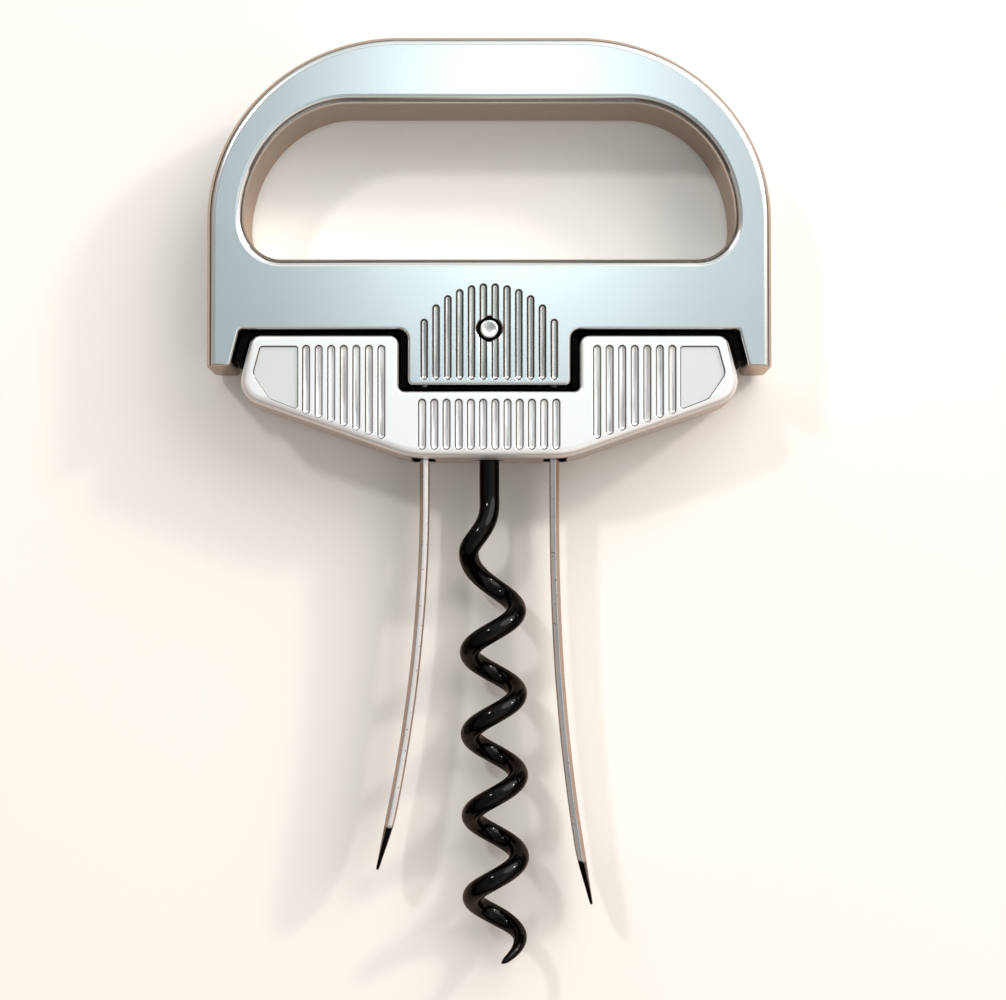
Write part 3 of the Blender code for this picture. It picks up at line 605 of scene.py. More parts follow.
def groove_tree():
    """Cutters for a row of round-ended grooves with softly rolled rims.

    One groove is a grid, rings from the floor out over the rim by steps round, wrapped about a centreline;
    it is instanced once a lane, and each lane's two ends are then drawn out to their own places.
    """
    g = Graph("groove_row")
    count = g.input("Count", 12, "NodeSocketInt")
    start, pitch = g.input("Start"), g.input("Pitch")
    radius, deep, rim = g.input("Radius"), g.input("Depth"), g.input("Rim")
    top, arch, arch_y = g.input("Top"), g.input("Arch Radius"), g.input("Arch Centre")
    bottom, rise = g.input("Bottom"), g.input("Bottom Rise")
    front = g.input("Front")
    material = g.input("Material", kind="NodeSocketMaterial")

    rings, around = 15, 28              # floor 0-7, rim 7-12, lid 13 and 14
    grid = g.node("GeometryNodeMeshGrid", {"Size X": 1.0, "Size Y": 1.0, "Vertices X": rings,
                                           "Vertices Y": around + 1})
    spot = g.split(g.node("GeometryNodeInputPosition").outputs[0])
    ring = g.math("ROUND", g.mul(g.add(spot[0], 0.5), rings - 1.0))
    turn = g.mul(g.add(g.add(spot[1], 0.5), 0.5 / around), 2 * math.pi)

    axis_z = g.add(front, g.sub(radius, deep))
    lean = g.sub(g.add(radius, rim), deep)
    reach = g.math("SQRT", g.sub(g.mul(g.add(radius, rim), g.add(radius, rim)), g.mul(lean, lean)))
    limit = g.math("ARCTAN2", reach, lean)
    floor_angle = g.mul(limit, g.div(ring, 7.0))
    rim_angle = g.mul(limit, g.div(g.sub(12.0, ring), 5.0))
    floor_r = g.mul(radius, g.math("SINE", floor_angle))
    floor_z = g.sub(axis_z, g.mul(radius, g.math("COSINE", floor_angle)))
    rim_r = g.sub(reach, g.mul(rim, g.math("SINE", rim_angle)))
    rim_z = g.add(g.sub(front, rim), g.mul(rim, g.math("COSINE", rim_angle)))
    past_floor, past_rim, past_edge = g.above(ring, 7.5), g.above(ring, 12.5), g.above(ring, 13.5)
    wide = g.mix(past_floor, floor_r, rim_r)
    wide = g.mix(past_rim, wide, g.add(reach, 0.0002))
    wide = g.mix(past_edge, wide, 0.0)
    high = g.mix(past_floor, floor_z, rim_z)
    high = g.mix(past_rim, high, g.add(front, 0.0002))
    sine = g.math("SINE", turn)
    ended = g.node("GeometryNodeStoreNamedAttribute", {
        "Geometry": grid.outputs["Mesh"], "Name": "upper_end", "Value": g.above(sine, 0.0)},
        data_type="FLOAT", domain="POINT")
    bent = g.node("GeometryNodeSetPosition", {
        "Geometry": ended.outputs[0],
        "Position": g.xyz(g.mul(wide, g.math("COSINE", turn)), g.mul(wide, sine), high)})

    lane = g.node("GeometryNodeInputIndex").outputs[0]
    lane_x = g.add(start, g.mul(lane, pitch))
    lanes = g.node("GeometryNodePoints", {"Count": count, "Position": g.xyz(lane_x, 0.0, 0.0)})
    placed = g.node("GeometryNodeInstanceOnPoints", {
        "Points": lanes.outputs[0], "Instance": bent.outputs[0]})
    numbered = g.node("GeometryNodeStoreNamedAttribute", {
        "Geometry": placed.outputs[0], "Name": "lane", "Value": lane}, data_type="FLOAT", domain="INSTANCE")
    real = g.node("GeometryNodeRealizeInstances", {"Geometry": numbered.outputs[0]})

    upper = g.node("GeometryNodeInputNamedAttribute", {"Name": "upper_end"}, data_type="FLOAT").outputs[0]
    number = g.node("GeometryNodeInputNamedAttribute", {"Name": "lane"}, data_type="FLOAT").outputs[0]
    x = g.add(start, g.mul(number, pitch))
    under_arch = g.math("SQRT", g.math("MAXIMUM", g.sub(g.mul(arch, arch), g.mul(x, x)), 0.0))
    lane_top = g.mix(g.above(arch, 0.0), top, g.add(arch_y, under_arch))
    high_end = g.sub(lane_top, radius)
    low_end = g.add(g.add(bottom, g.mul(number, rise)), radius)
    drawn = g.node("GeometryNodeSetPosition", {
        "Geometry": real.outputs[0], "Offset": g.xyz(0.0, g.mix(upper, low_end, high_end), 0.0)})
    closed = g.node("GeometryNodeMergeByDistance", {"Geometry": drawn.outputs[0], "Distance": 0.000001})
    outward = g.node("GeometryNodeFlipFaces", {"Mesh": closed.outputs[0]})
    ended_in(g, outward.outputs[0], material)
    return g


def coil_tree():
    """A wire wound right-handed down an upright or lying axis, opening out of its own axis at the top.

    The first turn can be longer than the rest, the axis can lean, and the end can be drawn out to a point.
    """
    g = Graph("coil")
    wire, radius, turns = g.input("Wire Radius"), g.input("Coil Radius"), g.input("Turns")
    pitch, lead, lead_turns = g.input("Pitch"), g.input("Lead"), g.input("Lead Turns", 1.0)
    opening, shank = g.input("Opening Turns"), g.input("Shank")
    lean_top, lean_end = g.input("Lean Top"), g.input("Lean End")
    taper, point = g.input("Taper Turns"), g.input("Point Share")
    drop_turns, drop = g.input("Drop Turns", 1000.0), g.input("Drop")
    steps = g.input("Steps", 200, "NodeSocketInt")
    material = g.input("Material", kind="NodeSocketMaterial")

    line = g.node("GeometryNodeCurvePrimitiveLine", {"End": (0.0, 0.0, -1.0)})
    fine = g.node("GeometryNodeResampleCurve", {"Curve": line.outputs[0], "Count": steps})
    along = g.node("GeometryNodeSplineParameter").outputs["Factor"]
    shank_share = 0.12
    on_shank = g.mul(g.above(shank, 0.0), g.above(shank_share, along))
    coil_share = g.mul(g.above(shank, 0.0), shank_share)
    turn = g.math("MAXIMUM", g.mul(turns, g.div(g.sub(along, coil_share), g.sub(1.0, coil_share))), 0.0)
    angle = g.mul(turn, 2 * math.pi)
    opened = g.math("MINIMUM", g.div(turn, g.math("MAXIMUM", opening, 0.0001)), 1.0)
    soft = g.mul(g.mul(opened, opened), g.sub(3.0, g.mul(opened, 2.0)))
    swung = g.mul(radius, g.mix(g.above(opening, 0.0), 1.0, soft))
    lean = g.mul(opened, g.mix(g.div(turn, turns), lean_top, lean_end))
    led = g.mul(lead, g.sub(1.0, g.math("EXPONENT", g.mul(-1.0, g.div(turn, lead_turns)))))
    dropped = g.mul(drop, g.math("MAXIMUM", g.sub(turn, drop_turns), 0.0))
    fall = g.add(g.add(g.mul(turn, pitch), led), dropped)
    stem = g.mul(on_shank, g.mul(shank, g.sub(1.0, g.div(along, shank_share))))
    across = g.sub(lean, g.mul(swung, g.math("SINE", angle)))
    deep = g.mul(swung, g.math("COSINE", angle))
    placed = g.node("GeometryNodeSetPosition", {
        "Geometry": fine.outputs[0], "Position": g.xyz(across, g.sub(stem, fall), deep)})
    left = g.div(g.sub(turns, turn), g.math("MAXIMUM", taper, 0.0001))
    drawn = g.math("MINIMUM", g.math("MAXIMUM", left, 0.0), 1.0)
    slim = g.mix(g.above(taper, 0.0), 1.0, g.mix(g.math("POWER", drawn, 0.8), point, 1.0))
    blunt = g.math("SQRT", g.math("MINIMUM", g.math("MAXIMUM", g.mul(left, 14.0), 0.0), 1.0))
    share = g.mul(slim, g.mix(g.above(taper, 0.0), 1.0, blunt))
    sized = g.node("GeometryNodeSetCurveRadius", {"Curve": placed.outputs[0], "Radius": share})
    ring = g.node("GeometryNodeCurvePrimitiveCircle", {"Resolution": 28, "Radius": wire})
    values = {"Curve": sized.outputs[0], "Profile Curve": ring.outputs[0], "Fill Caps": True}
    skin = g.node("GeometryNodeCurveToMesh", values)
    if "Scale" in skin.inputs:
        g.give(skin.inputs["Scale"], share)
    closed = g.node("GeometryNodeMergeByDistance", {"Geometry": skin.outputs[0], "Distance": 0.000002})
    ended_in(g, closed.outputs[0], material)
    return g


def blade_tree():
    """The middle surface of a spring blade: straight, then flaring, arched across, ending in a tongue."""
    g = Graph("spring_blade")
    side, top, tip = g.input("Side", 1.0), g.input("Top"), g.input("Tip")
    stand, start = g.input("Stand"), g.input("Flare Start")
    reach, power = g.input("Flare Reach"), g.input("Flare Power")
    half, arch = g.input("Half Width"), g.input("Arch")
    tongue, narrow = g.input("Tongue Length"), g.input("Tongue Share")
    middle = g.input("Middle")
    material = g.input("Material", kind="NodeSocketMaterial")
    grid = g.node("GeometryNodeMeshGrid", {"Size X": 1.0, "Size Y": 1.0, "Vertices X": 13,
                                           "Vertices Y": 150})
    spot = g.split(g.node("GeometryNodeInputPosition").outputs[0])
    across = g.mul(spot[0], 2.0)
    y = g.mix(g.add(spot[1], 0.5), tip, top)
    along = g.math("MAXIMUM", g.div(g.sub(start, y), g.sub(start, tip)), 0.0)
    flare = g.mul(reach, g.math("POWER", along, power))
    rooted = g.math("MINIMUM", g.div(g.sub(top, y), 0.006), 1.0)
    curl = g.mul(g.mul(arch, g.mul(across, across)), rooted)
    near = g.math("MINIMUM", g.math("MAXIMUM", g.div(g.sub(y, tip), tongue), 0.0), 1.0)
    slim = g.mix(g.math("SINE", g.mul(near, math.pi / 2)), narrow, 1.0)
    end = g.math("MINIMUM", g.div(g.sub(y, tip), 0.0006), 1.0)
    ended = g.mix(g.math("SQRT", g.math("MAXIMUM", end, 0.0)), 0.72, 1.0)
    width = g.mul(half, g.mul(slim, ended))
    x = g.mul(side, g.sub(g.add(stand, flare), g.mul(curl, g.mul(slim, slim))))
    placed = g.node("GeometryNodeSetPosition", {
        "Geometry": grid.outputs["Mesh"], "Position": g.xyz(x, y, g.add(middle, g.mul(across, width)))})
    ended_in(g, placed.outputs[0], material)
    return g


GROOVES = groove_tree()
COIL = coil_tree()
BLADE = blade_tree()


# ---- handle ------------------------------------------------------------------------------------------
def handle_outline():
    """The D of the handle, its straight sides running on past the tabs."""
    half = [(0, HANDLE_TOP)]
    half += arc((ARCH_FLAT, SHOULDER), (HANDLE_HALF - ARCH_FLAT, HANDLE_TOP - SHOULDER), 90, 0, 56)
    half += [(HANDLE_HALF, BOSS_BOTTOM - 0.006), (0, BOSS_BOTTOM - 0.006)]
    return mirrored(half)


def underside_outline():
    """What is cut away below: tab bottoms, recesses, and round the boss."""
    low, side = BOSS_BOTTOM - 0.010, HANDLE_HALF + 0.004
    corners = [(side, TAB_BOTTOM, 0.0005), (TAB_INNER, TAB_BOTTOM, 0.0006), (RECESS_END, RECESS_TOP, 0.0005),
               (BOSS_HALF, RECESS_TOP, 0.0014), (BOSS_HALF, BOSS_BOTTOM, 0.0007)]
    half = [(0, low), (side, low)] + corners_rounded(corners, (side, low), (0, BOSS_BOTTOM))
    return mirrored(half + [(0, BOSS_BOTTOM)])


def grip_outline():
    """The hand opening: a wide arch over a flat foot with rounded corners."""
    half = [(0, GRIP_TOP)]
    half += arc((GRIP_ARCH_FLAT, SHOULDER), (GRIP_HALF - GRIP_ARCH_FLAT, GRIP_TOP - SHOULDER), 90, 0, 40)
    foot = (GRIP_HALF - GRIP_FOOT_FLAT, SHOULDER - GRIP_BOTTOM)
    half += arc((GRIP_FOOT_FLAT, SHOULDER), foot, 0, -90, 24)[1:]
    return mirrored(half + [(0, GRIP_BOTTOM)])


def flared(radius):
    """A rounded rim as (depth, flare) pairs from inside an opening out; it crosses the face at a slope."""
    start, over = math.radians(10), radius * 0.02
    pairs = []
    for i in range(RIM_STEPS + 1):
        angle = math.pi / 2 + (start - math.pi / 2) * i / RIM_STEPS
        pairs.append((radius * (1 - math.cos(angle)), radius * (1 - math.sin(angle))))
    pairs.append((-over, pairs[-1][1] + (pairs[-1][0] + over) / math.tan(start)))
    return pairs + [(-0.001, pairs[-1][1])]


def flared_cutter(name, outline, front_radius, back_radius):
    """A cutter right through a casting that leaves rounded rims at both faces."""
    levels = [(depth, flare) for depth, flare in reversed(flared(back_radius))]
    levels += [(FRONT - depth, flare) for depth, flare in flared(front_radius)]
    return stack(name, [[(x, y, z) for x, y in moved_out(outline, flare)] for z, flare in levels])


def pin_hole(name, x, y, radius, low, high):
    """A round cutter, straight through between two heights."""
    return lathe(name, [(0, high), (radius, high), (radius, low), (0, low)], (x, y, 0), 32)


def button_hole():
    """The hole round the catch button, with a slightly broken edge."""
    edge, r = 0.0003, BUTTON_HOLE
    profile = [(0, FRONT + 0.001), (r + edge + 0.001, FRONT + 0.001), (r + edge, FRONT),
               (r + edge * 0.35, FRONT - edge * 0.35), (r, FRONT - edge), (r, MID), (0, MID)]
    return lathe("button_hole", profile, (0, CATCH_Y, 0), 48)


def boss_grooves(metal):
    """Twelve lanes whose tops follow an arch."""
    return grown(GROOVES, "boss_grooves", Count=12, Start=-5.5 * BOSS_PITCH, Pitch=BOSS_PITCH, Radius=0.00054,
                 Depth=GROOVE_DEEP * 0.95, Rim=0.00010, Top=0.0, Bottom=0.0183, Front=FRONT, Material=metal,
                 **{"Arch Radius": 0.01145, "Arch Centre": 0.0212, "Bottom Rise": 0.0})


def make_handle(metal):
    part = round_plate("handle_casting", handle_outline(), lambda x, y: (FRONT_ROUND, BACK_ROUND))
    hollow = block("boss_hollow", (-0.0112, BOSS_BOTTOM - 0.001, 0.0030), (0.0112, 0.0312, 0.0120))
    plug = pin_hole("plug_hole", 0, CATCH_Y, PLUG_HOLE, -0.001, 0.0065)
    cutters = [flared_cutter("grip_cutter", grip_outline(), FRONT_ROUND, GRIP_BACK_ROUND),
               flared_cutter("underside_cutter", underside_outline(), FIT_ROUND, FIT_ROUND),
               boss_grooves(metal), hollow, button_hole(), plug]
    for side in (-1, 1):
        cutters.append(pin_hole("pin_hole", side * EYE_X, EYE_Y, EYE_BORE, -0.001, 0.0135))
        profile = [(0, 0.0040), (0.0011, 0.0040), (0.0011, 0.0020), (0.0019, 0.0020), (0.0019, -0.001),
                   (0, -0.001)]
        cutters.append(lathe("screw_hole", profile, (side * 0.0046, 0.0198, 0), 32))
    part = mark_relief(finish_mesh(cut(part, cutters), metal), (handle_outline(), RELIEF_EDGE),
                       (grip_outline(), RELIEF_EDGE), (underside_outline(), FIT_EDGE))
    return show(part, "handle", "cast_handle", "handle_frame")


# ---- bar ---------------------------------------------------------------------------------------------
def bar_outline():
    """The bar from the middle of its notch, out along a wing's top and back along its slanted underside."""
    notch = [(NOTCH_HALF, NOTCH_BOTTOM, 0.0009), (NOTCH_HALF, BAR_TOP, 0.0013)]
    wing = [(*WING_TOP_END, 0.0018), (*WING_CORNER, 0.0036), (*BELLY_END, 0.0140)]
    half = [(0, NOTCH_BOTTOM)] + corners_rounded(notch, (0, NOTCH_BOTTOM), WING_TOP_END)
    half += [(0.0175, BAR_TOP), (0.0300, BAR_TOP)] + corners_rounded(wing, (NOTCH_HALF, BAR_TOP), (0, BELLY))
    return mirrored(half + [(0, BELLY)])


def bar_rim(x, y):
    """Rims are small in the notch, where the boss sits, and no larger than the wing tips' corners."""
    if abs(x) < NOTCH_HALF + 0.0020:
        return (0.0006, 0.0009) if y > NOTCH_BOTTOM - 0.001 else (FRONT_ROUND, BACK_ROUND)
    at_tip = abs(x) > 0.0325 and y > BAR_TOP - 0.0045
    down = min(1.0, max(0.0, (BAR_TOP - y) / 0.0040))
    return (0.0006 + (FRONT_ROUND - 0.0006) * down, 0.0015 if at_tip else BACK_ROUND)


def bar_grooves(metal):
    """Twelve short lanes in the middle, and seven in each wing whose lower ends climb outwards."""
    same = {"Radius": 0.0006, "Depth": GROOVE_DEEP, "Rim": 0.00012, "Front": FRONT, "Material": metal,
            "Arch Radius": 0.0, "Arch Centre": 0.0}
    yield grown(GROOVES, "middle_grooves", Count=12, Start=-5.5 * MIDDLE_PITCH, Pitch=MIDDLE_PITCH,
                Top=0.0155, Bottom=0.0079, **same, **{"Bottom Rise": 0.0})
    for side in (-1, 1):
        yield grown(GROOVES, "wing_grooves", Count=7, Start=side * 0.0160, Pitch=side * WING_PITCH,
                    Top=0.0235, Bottom=0.0095, **same, **{"Bottom Rise": 0.0037 / 6})


def pad_outline(side):
    """The five-cornered pad near a wing's tip."""
    corners = [(0.0284, 0.0139, 0.0004), (0.0326, 0.0155, 0.0016), (0.0351, 0.0192, 0.0016),
               (0.0340, 0.0233, 0.0005), (0.0284, 0.0233, 0.0004)]
    points = []
    for i, (x, y, radius) in enumerate(corners):
        before, after = corners[i - 1][:2], corners[(i + 1) % len(corners)][:2]
        points += rounded((x, y), before, after, radius)
    return points if side > 0 else [(-x, y) for x, y in reversed(points)]


def pad_cutter(side):
    """A sunken pad with leaning sides."""
    levels = ((FRONT - PAD_DEEP, -0.00010), (FRONT - PAD_DEEP * 0.7, -0.00002), (FRONT, 0.00010),
              (FRONT + 0.0005, 0.00018))
    return stack("pad_cut", [[(x, y, z) for x, y in moved_out(pad_outline(side), out)] for z, out in levels])


def blade_mouth(x):
    """The round-ended slot that a blade comes out of, its rim slightly broken."""
    half, rim = MOUTH_HALF, 0.0002
    profile = [(0, 0.0083), (half, 0.0083), (half, BELLY + rim), (half + rim, BELLY),
               (half + rim + 0.0005, BELLY - 0.0005), (0, BELLY - 0.0005)]
    steps = 40
    part = lathe("mouth", profile, (0, 0, 0), steps, "Y")
    part.data.transform(Matrix.Rotation(math.pi / steps, 4, "Y"))
    for vert in part.data.vertices:
        vert.co = (x + vert.co.x, vert.co.y, MID + vert.co.z + math.copysign(MOUTH_STRAIGHT, vert.co.z))
    return part


def in_a_bore(x, y, z):
    """Whether a point lies on the wall of a blade's slot or of the worm's bore."""
    near, reach = 0.00008, MOUTH_HALF + 0.00008
    if y > 0.0170 or y < BELLY + near:
        return False
    mouth = abs(abs(x) - GUIDE_X) < reach and abs(z - MID) < MOUTH_STRAIGHT + reach
    return mouth or math.hypot(x, z - MID) < SHANK_BORE + 0.00015


def make_bar(metal):
    part = round_plate("bar_casting", bar_outline(), bar_rim)
    cutters = list(bar_grooves(metal))
    cutters += [pad_cutter(side) for side in (-1, 1)]
    bore = [(0, 0.0176), (0.0035, 0.0176), (0.0035, 0.0081), (SHANK_BORE, 0.0081), (SHANK_BORE, BELLY + 0.0002),
            (0.0028, BELLY - 0.0005), (0, BELLY - 0.0005)]
    cutters.append(lathe("worm_bore", bore, (0, 0, MID), 40, "Y"))
    for side in (-1, 1):
        cutters.append(block("guide_pocket", (side * GUIDE_X - 0.0034, 0.0078, 0.0026),
                             (side * GUIDE_X + 0.0034, 0.0176, 0.0124)))
        cutters.append(blade_mouth(side * GUIDE_X))
        cutters.append(pin_hole("dowel_hole", side * GUIDE_X, 0.0125, DOWEL_R, -0.001, 0.0050))
    cutters.append(pin_hole("worm_pin_hole", 0, 0.0118, DOWEL_R, -0.001, 0.0118))
    part = mark_relief(finish_mesh(cut(part, cutters), metal), (bar_outline(), RELIEF_EDGE))
    mark_bore_shade(part, in_a_bore)
    return show(part, "bar", "cast_bar", "stabilizer_bar")


# ---- worm, blades and small pieces -------------------------------------------------------------------
def make_worm(coating):
    """The worm with its shank, one coated wire that is drawn out to a point."""
    part = grown(COIL, "worm_wire", Steps=520, Turns=4.97, Pitch=0.01225, Lead=0.0085, Shank=0.01235,
                 Material=coating, **{"Wire Radius": 0.0015, "Coil Radius": 0.00355, "Lead Turns": 0.22,
                                      "Opening Turns": 0.25, "Lean Top": 0.0004, "Lean End": 0.0011,
                                      "Taper Turns": 0.45, "Point Share": 0.22, "Drop Turns": 4.75,
                                      "Drop": 0.0033})
    part.data.transform(Matrix.Translation((0, 0.00165, MID)))
    part.data.shade_smooth()
    return show(part, "bar", "black_coating", "worm")


def make_blade(name, node, body, side, flare, steel):
    """A blade's strip with its thickness and ground edges, and the eye rolled at its root."""
    low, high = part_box(node)
    reach, power = flare
    part = grown(BLADE, name, Side=float(side), Top=EYE_Y - 0.0002, Tip=low.y, Stand=BLADE_X,
                 Arch=BLADE_ARCH, Middle=MID, Material=steel,
                 **{"Flare Start": FLARE_START, "Flare Reach": reach, "Flare Power": power,
                    "Half Width": BLADE_WIDE / 2, "Tongue Length": TONGUE, "Tongue Share": 0.45})
    wall = part.modifiers.new("thickness", "SOLIDIFY")
    wall.thickness = BLADE_THICK
    wall.offset = 0
    wall.use_even_offset = True
    part = applied(part)
    for vert in part.data.vertices:
        drawn = min(1.0, max(0.0, (vert.co.y - low.y) / TONGUE))
        along = max(0.0, (FLARE_START - vert.co.y) / (FLARE_START - low.y))
        middle = side * (BLADE_X + reach * along ** power)
        vert.co.x = middle + (vert.co.x - middle) * (TIP_THIN + (1 - TIP_THIN) * drawn ** 0.8)
    soft = part.modifiers.new("rounded_edges", "BEVEL")
    soft.width, soft.segments, soft.limit_method = 0.0003, 3, "ANGLE"
    soft.angle_limit = math.radians(50)
    part = applied(part)
    tall = BLADE_WIDE / 2
    eye = lathe("eye", [(0, MID + tall), (EYE_R, MID + tall), (EYE_R, MID - tall), (0, MID - tall)],
                (side * EYE_X, EYE_Y, 0), 40)
    bore = pin_hole("eye_bore", side * EYE_X, EYE_Y, EYE_BORE, 0, FRONT)
    part = cut(cut(part, [eye], "UNION"), [bore])
    return show(finish_mesh(part, steel, 50), body, "blade_steel", node)


def make_button(steel):
    """The catch's button: a shallow domed rim, a flange and a foot."""
    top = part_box("catch_button")[1].z
    dish = [(0, top - 0.00022), (0.0004, top - 0.00020), (0.0008, top - 0.00012), (0.00105, top - 0.00002),
            (0.00122, top - 0.00003), (0.00134, top - 0.00014), (0.0014, top - 0.00032)]
    stem = [(0.0014, 0.0116), (0.0022, 0.0116), (0.0022, 0.0098), (0.0011, 0.0098), (0.0011, 0.0060),
            (0.0020, 0.0060), (0.0020, 0.0053), (0, 0.0053)]
    part = lathe("button", dish + stem, (0, CATCH_Y, 0), 64)
    return show(finish_mesh(part, steel, 40), "catch", "bright_steel", "catch_button")


def make_spring(steel):
    """The small spring under the catch's button."""
    part = grown(COIL, "button_spring", Steps=160, Turns=3.0, Pitch=0.00053, Lead=0.0, Shank=0.0,
                 Material=steel, **{"Wire Radius": 0.0002, "Coil Radius": 0.0015, "Lead Turns": 1.0,
                                    "Opening Turns": 0.0, "Lean Top": 0.0, "Lean End": 0.0,
                                    "Taper Turns": 0.0, "Point Share": 1.0, "Drop Turns": 1000.0,
                                    "Drop": 0.0})
    part.data.transform(Matrix.Translation((0, CATCH_Y, 0.0048)) @ Matrix.Rotation(math.pi / 2, 4, "X"))
    part.data.shade_smooth()
    return show(part, "handle", "bright_steel", "catch_spring")


def broken_edge(radius, low, edge):
    """The last points of a turned profile: a softened corner, then the flat end at the height low."""
    return [(radius, low + edge), (radius - edge * 0.3, low + edge * 0.3), (radius - edge, low), (0, low)]


def make_pins(steel):
    """Round pins and dowels whose ends show in the back."""
    pins = [("blade_pin_left", "handle"), ("blade_pin_right", "handle"), ("worm_pin", "bar"),
            ("guide_pin_left", "bar"), ("guide_pin_right", "bar")]
    for node, body in pins:
        low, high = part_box(node)
        radius = (high.x - low.x) / 2
        profile = [(0, high.z), (radius, high.z)] + broken_edge(radius, low.z, 0.00018)
        where = ((low.x + high.x) / 2, (low.y + high.y) / 2, 0)
        show(finish_mesh(lathe(node + "_turned", profile, where, 32), steel, 50), body, "bright_steel", node)


def make_slotted(steel):
    """The carrier's screws and the catch's plug, slotted across their heads."""
    for node in ("carrier_screw_left", "carrier_screw_right", "catch_plug"):
        low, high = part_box(node)
        radius, head, half = (high.x - low.x) / 2, 0.0017, 0.00025
        x, y = (low.x + high.x) / 2, (low.y + high.y) / 2
        stem = [(0, high.z), (0.0008, high.z), (0.0008, head), (radius, head)]
        if node == "catch_plug":
            stem, half = [(0, high.z), (radius, high.z)], 0.0004
        part = lathe(node + "_turned", stem + broken_edge(radius, low.z, 0.0002), (x, y, 0), 48)
        slot = block("driver_slot", (x - 0.005, y - half, low.z - 0.001), (x + 0.005, y + half, low.z + 0.0006))
        show(finish_mesh(cut(part, [slot]), steel, 50), "handle", "bright_steel", node)


def dress_cad_nodes(nylon, steel):
    """CAD nodes whose shape is right keep it and take a finish."""
    for node, finish in (("seat_liner_left", nylon), ("seat_liner_right", nylon), ("blade_carrier", nylon),
                         ("blade_guide_left", nylon), ("blade_guide_right", nylon), ("worm_head", steel)):
        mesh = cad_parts[node].data
        mesh.materials.clear()
        mesh.materials.append(finish)


# ---- floor, light and camera ---------------------------------------------------------------------------
def make_floor():
    mesh = bpy.data.meshes.new("floor")
    side = 1.5
    corners = [(-side, -side, 0), (side, -side, 0), (side, side, 0), (-side, side, 0)]
    mesh.from_pydata(corners, [], [(0, 1, 2, 3)])
    floor = link("floor", mesh)
    paper = Finish("floor_paper", (0.90, 0.885, 0.87), 0.8)
    # Painted reflection: glossy rays see the floor in a dark warm brown, not its pale colour, so the metal
    # mirrors a darker floor.
    painted_reflection_ray = paper.node("ShaderNodeLightPath").outputs["Is Glossy Ray"]
    paper.into(paper.mixed(painted_reflection_ray, (0.82, 0.80, 0.775), (0.50, 0.37, 0.29)), "Base Color")
    mesh.materials.append(paper.material)


def area_light(name, where, size, power, colour):
    lamp = bpy.data.lights.new(name, "AREA")
    lamp.shape = "DISK"
    lamp.size = size
    lamp.energy = power
    lamp.color = colour
    made = bpy.data.objects.new(name, lamp)
    bpy.context.scene.collection.objects.link(made)
    made.location = where
    made.rotation_euler = (-Vector(where)).to_track_quat("-Z", "Y").to_euler()
    return made


def studio_sky():
    """What the metal mirrors: a cool bright panel almost overhead, greys round it, warm browns low down."""
    g = Graph("studio_sky", "ShaderNodeTree")
    panel = g.input("Panel", 2.1)
    middle, near, far = g.input("Panel Middle", 0.003), g.input("Panel Near", 0.118), g.input("Panel Far", 0.34)
    half, edge = g.input("Panel Half", 0.036), g.input("Panel Edge", 0.030)
    slant, window = g.input("Slant", 1.1), g.input("Window", 0.45)
    x, y, z = g.split(g.node("ShaderNodeTexCoord").outputs["Generated"])
    up = g.math("MAXIMUM", z, 0.05)
    across, along = g.div(x, up), g.div(y, up)
    ramp = g.node("ShaderNodeValToRGB", {0: z})
    while len(ramp.color_ramp.elements) < len(SKY_BANDS):
        ramp.color_ramp.elements.new(0.5)
    for element, (position, colour) in zip(ramp.color_ramp.elements, SKY_BANDS):
        element.position = position
        element.color = (*colour, 1.0)
    off = g.math("ABSOLUTE", g.sub(across, middle))
    inside = g.mul(fade(g, off, g.add(half, edge), g.sub(half, edge)),
                   g.mul(fade(g, along, g.sub(near, edge), g.add(near, edge)),
                         fade(g, along, far, g.sub(far, 0.10))))
    flat = g.math("SQRT", g.add(g.mul(x, x), g.add(g.mul(y, y), 0.0001)))
    ahead = g.mul(fade(g, g.div(y, flat), 0.45, 0.85), g.mul(fade(g, z, 0.10, 0.30), fade(g, z, 0.95, 0.86)))
    inside = g.add(g.mul(panel, inside), g.mul(window, ahead))
    tilt = g.math("MINIMUM", g.math("MAXIMUM", g.mul(slant, across), -0.4), 0.4)
    scaled = g.node("ShaderNodeVectorMath", {0: ramp.outputs[0], "Scale": g.add(1.0, tilt)}, operation="SCALE")
    lit = g.node("ShaderNodeVectorMath", {0: PANEL_COLOUR, "Scale": inside}, operation="SCALE")
    both = g.node("ShaderNodeVectorMath", {0: scaled.outputs[0], 1: lit.outputs[0]}, operation="ADD")
    g.output("Colour", both.outputs[0], "NodeSocketColor")
    return g


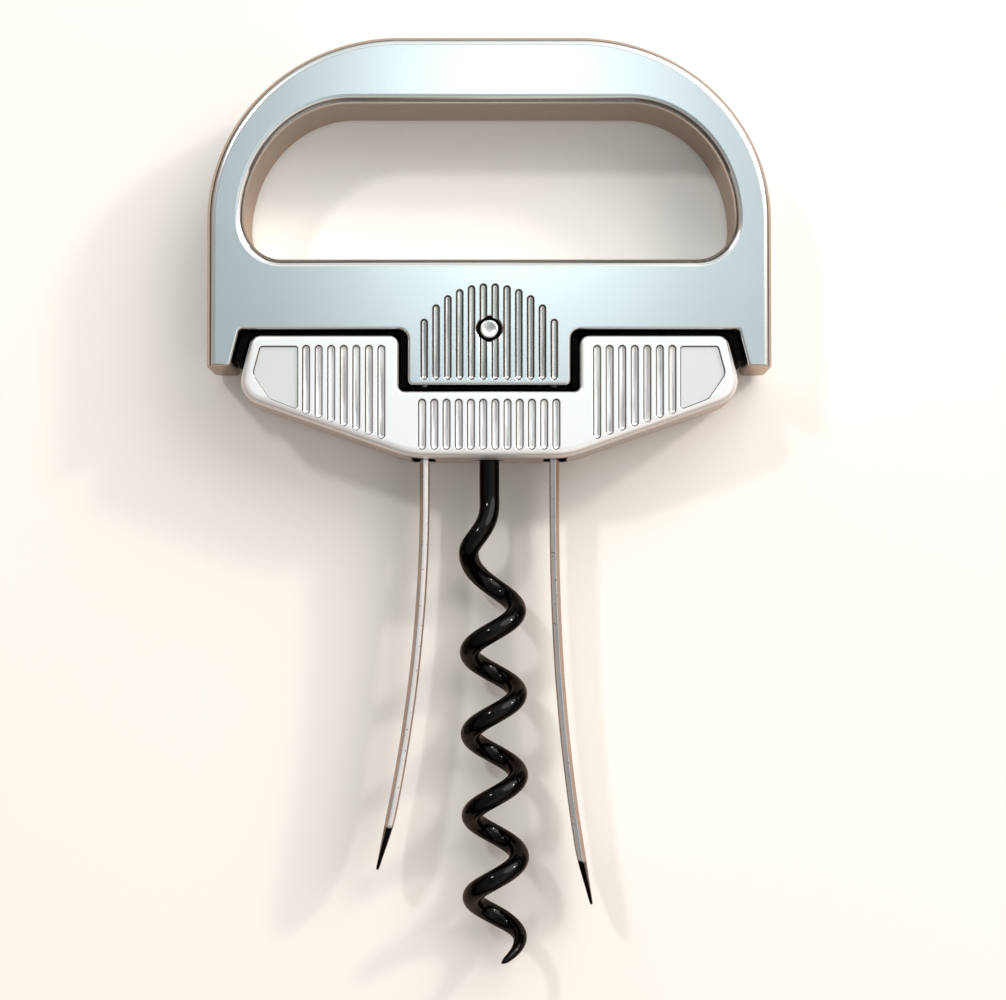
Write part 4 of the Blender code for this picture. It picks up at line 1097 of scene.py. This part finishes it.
def make_light():
    world = bpy.data.worlds.new("studio")
    bpy.context.scene.world = world
    world.use_nodes = True
    tree = world.node_tree
    sky = tree.nodes.new("ShaderNodeGroup")
    sky.node_tree = studio_sky().tree
    back = tree.nodes["Background"]
    tree.links.new(sky.outputs["Colour"], back.inputs["Color"])
    back.inputs["Strength"].default_value = 1.0          # the bands above are already at the right strength
    area_light("key", (0.54, 0.56, 0.56), 0.9, 5.9, (1.0, 0.97, 0.93))
    area_light("left_lamp", (-0.42, 0.46, 0.70), 0.09, 1.9, (1.0, 0.98, 0.96))
    area_light("right_lamp", (0.66, 0.46, 0.42), 0.09, 2.6, (1.0, 0.90, 0.80))


def make_camera():
    """Nearly straight above the front, leaning a little."""
    height, lean, frame_up = 0.400, math.radians(1.6), 0.075
    lens = bpy.data.cameras.new("camera")
    lens.sensor_width = 36.0
    lens.lens = lens.sensor_width * height / VIEW_WIDE
    lens.shift_y = frame_up
    made = bpy.data.objects.new("camera", lens)
    bpy.context.scene.collection.objects.link(made)
    made.location = (0.00205, -0.0219, FRONT + height)
    made.rotation_euler = (lean, 0, 0)
    bpy.context.scene.camera = made


zinc = cast_metal("satin_zinc", (0.75, 0.79, 0.80), 0.13, 0.20, GROOVE_DEEP)
pale_zinc = cast_metal("pale_satin_zinc", (0.91, 0.935, 0.95), 0.20, 0.28, GROOVE_DEEP, 0.5)
short_steel, long_steel = (
    spring_steel(name + "_steel", (0.70, 0.69, 0.69), 0.16, 0.28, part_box(name)[0].y + BLACK_TIP_LENGTH)
    for name in ("short_blade", "long_blade"))
pin_steel = spring_steel("bright_steel", (0.72, 0.72, 0.71), 0.18, 0.28)
coating = black_coating("glossy_black_coating")
nylon = black_nylon("black_nylon")

make_handle(zinc)
make_bar(pale_zinc)
make_worm(coating)
make_blade("short_blade_strip", "short_blade", "short_blade", -1, SHORT_FLARE, short_steel)
make_blade("long_blade_strip", "long_blade", "long_blade", 1, LONG_FLARE, long_steel)
make_button(button_steel("button_steel"))
make_spring(pin_steel)
make_pins(pin_steel)
make_slotted(pin_steel)
dress_cad_nodes(nylon, pin_steel)
make_floor()
make_light()
make_camera()
bpy.context.scene.view_settings.view_transform = "Standard"
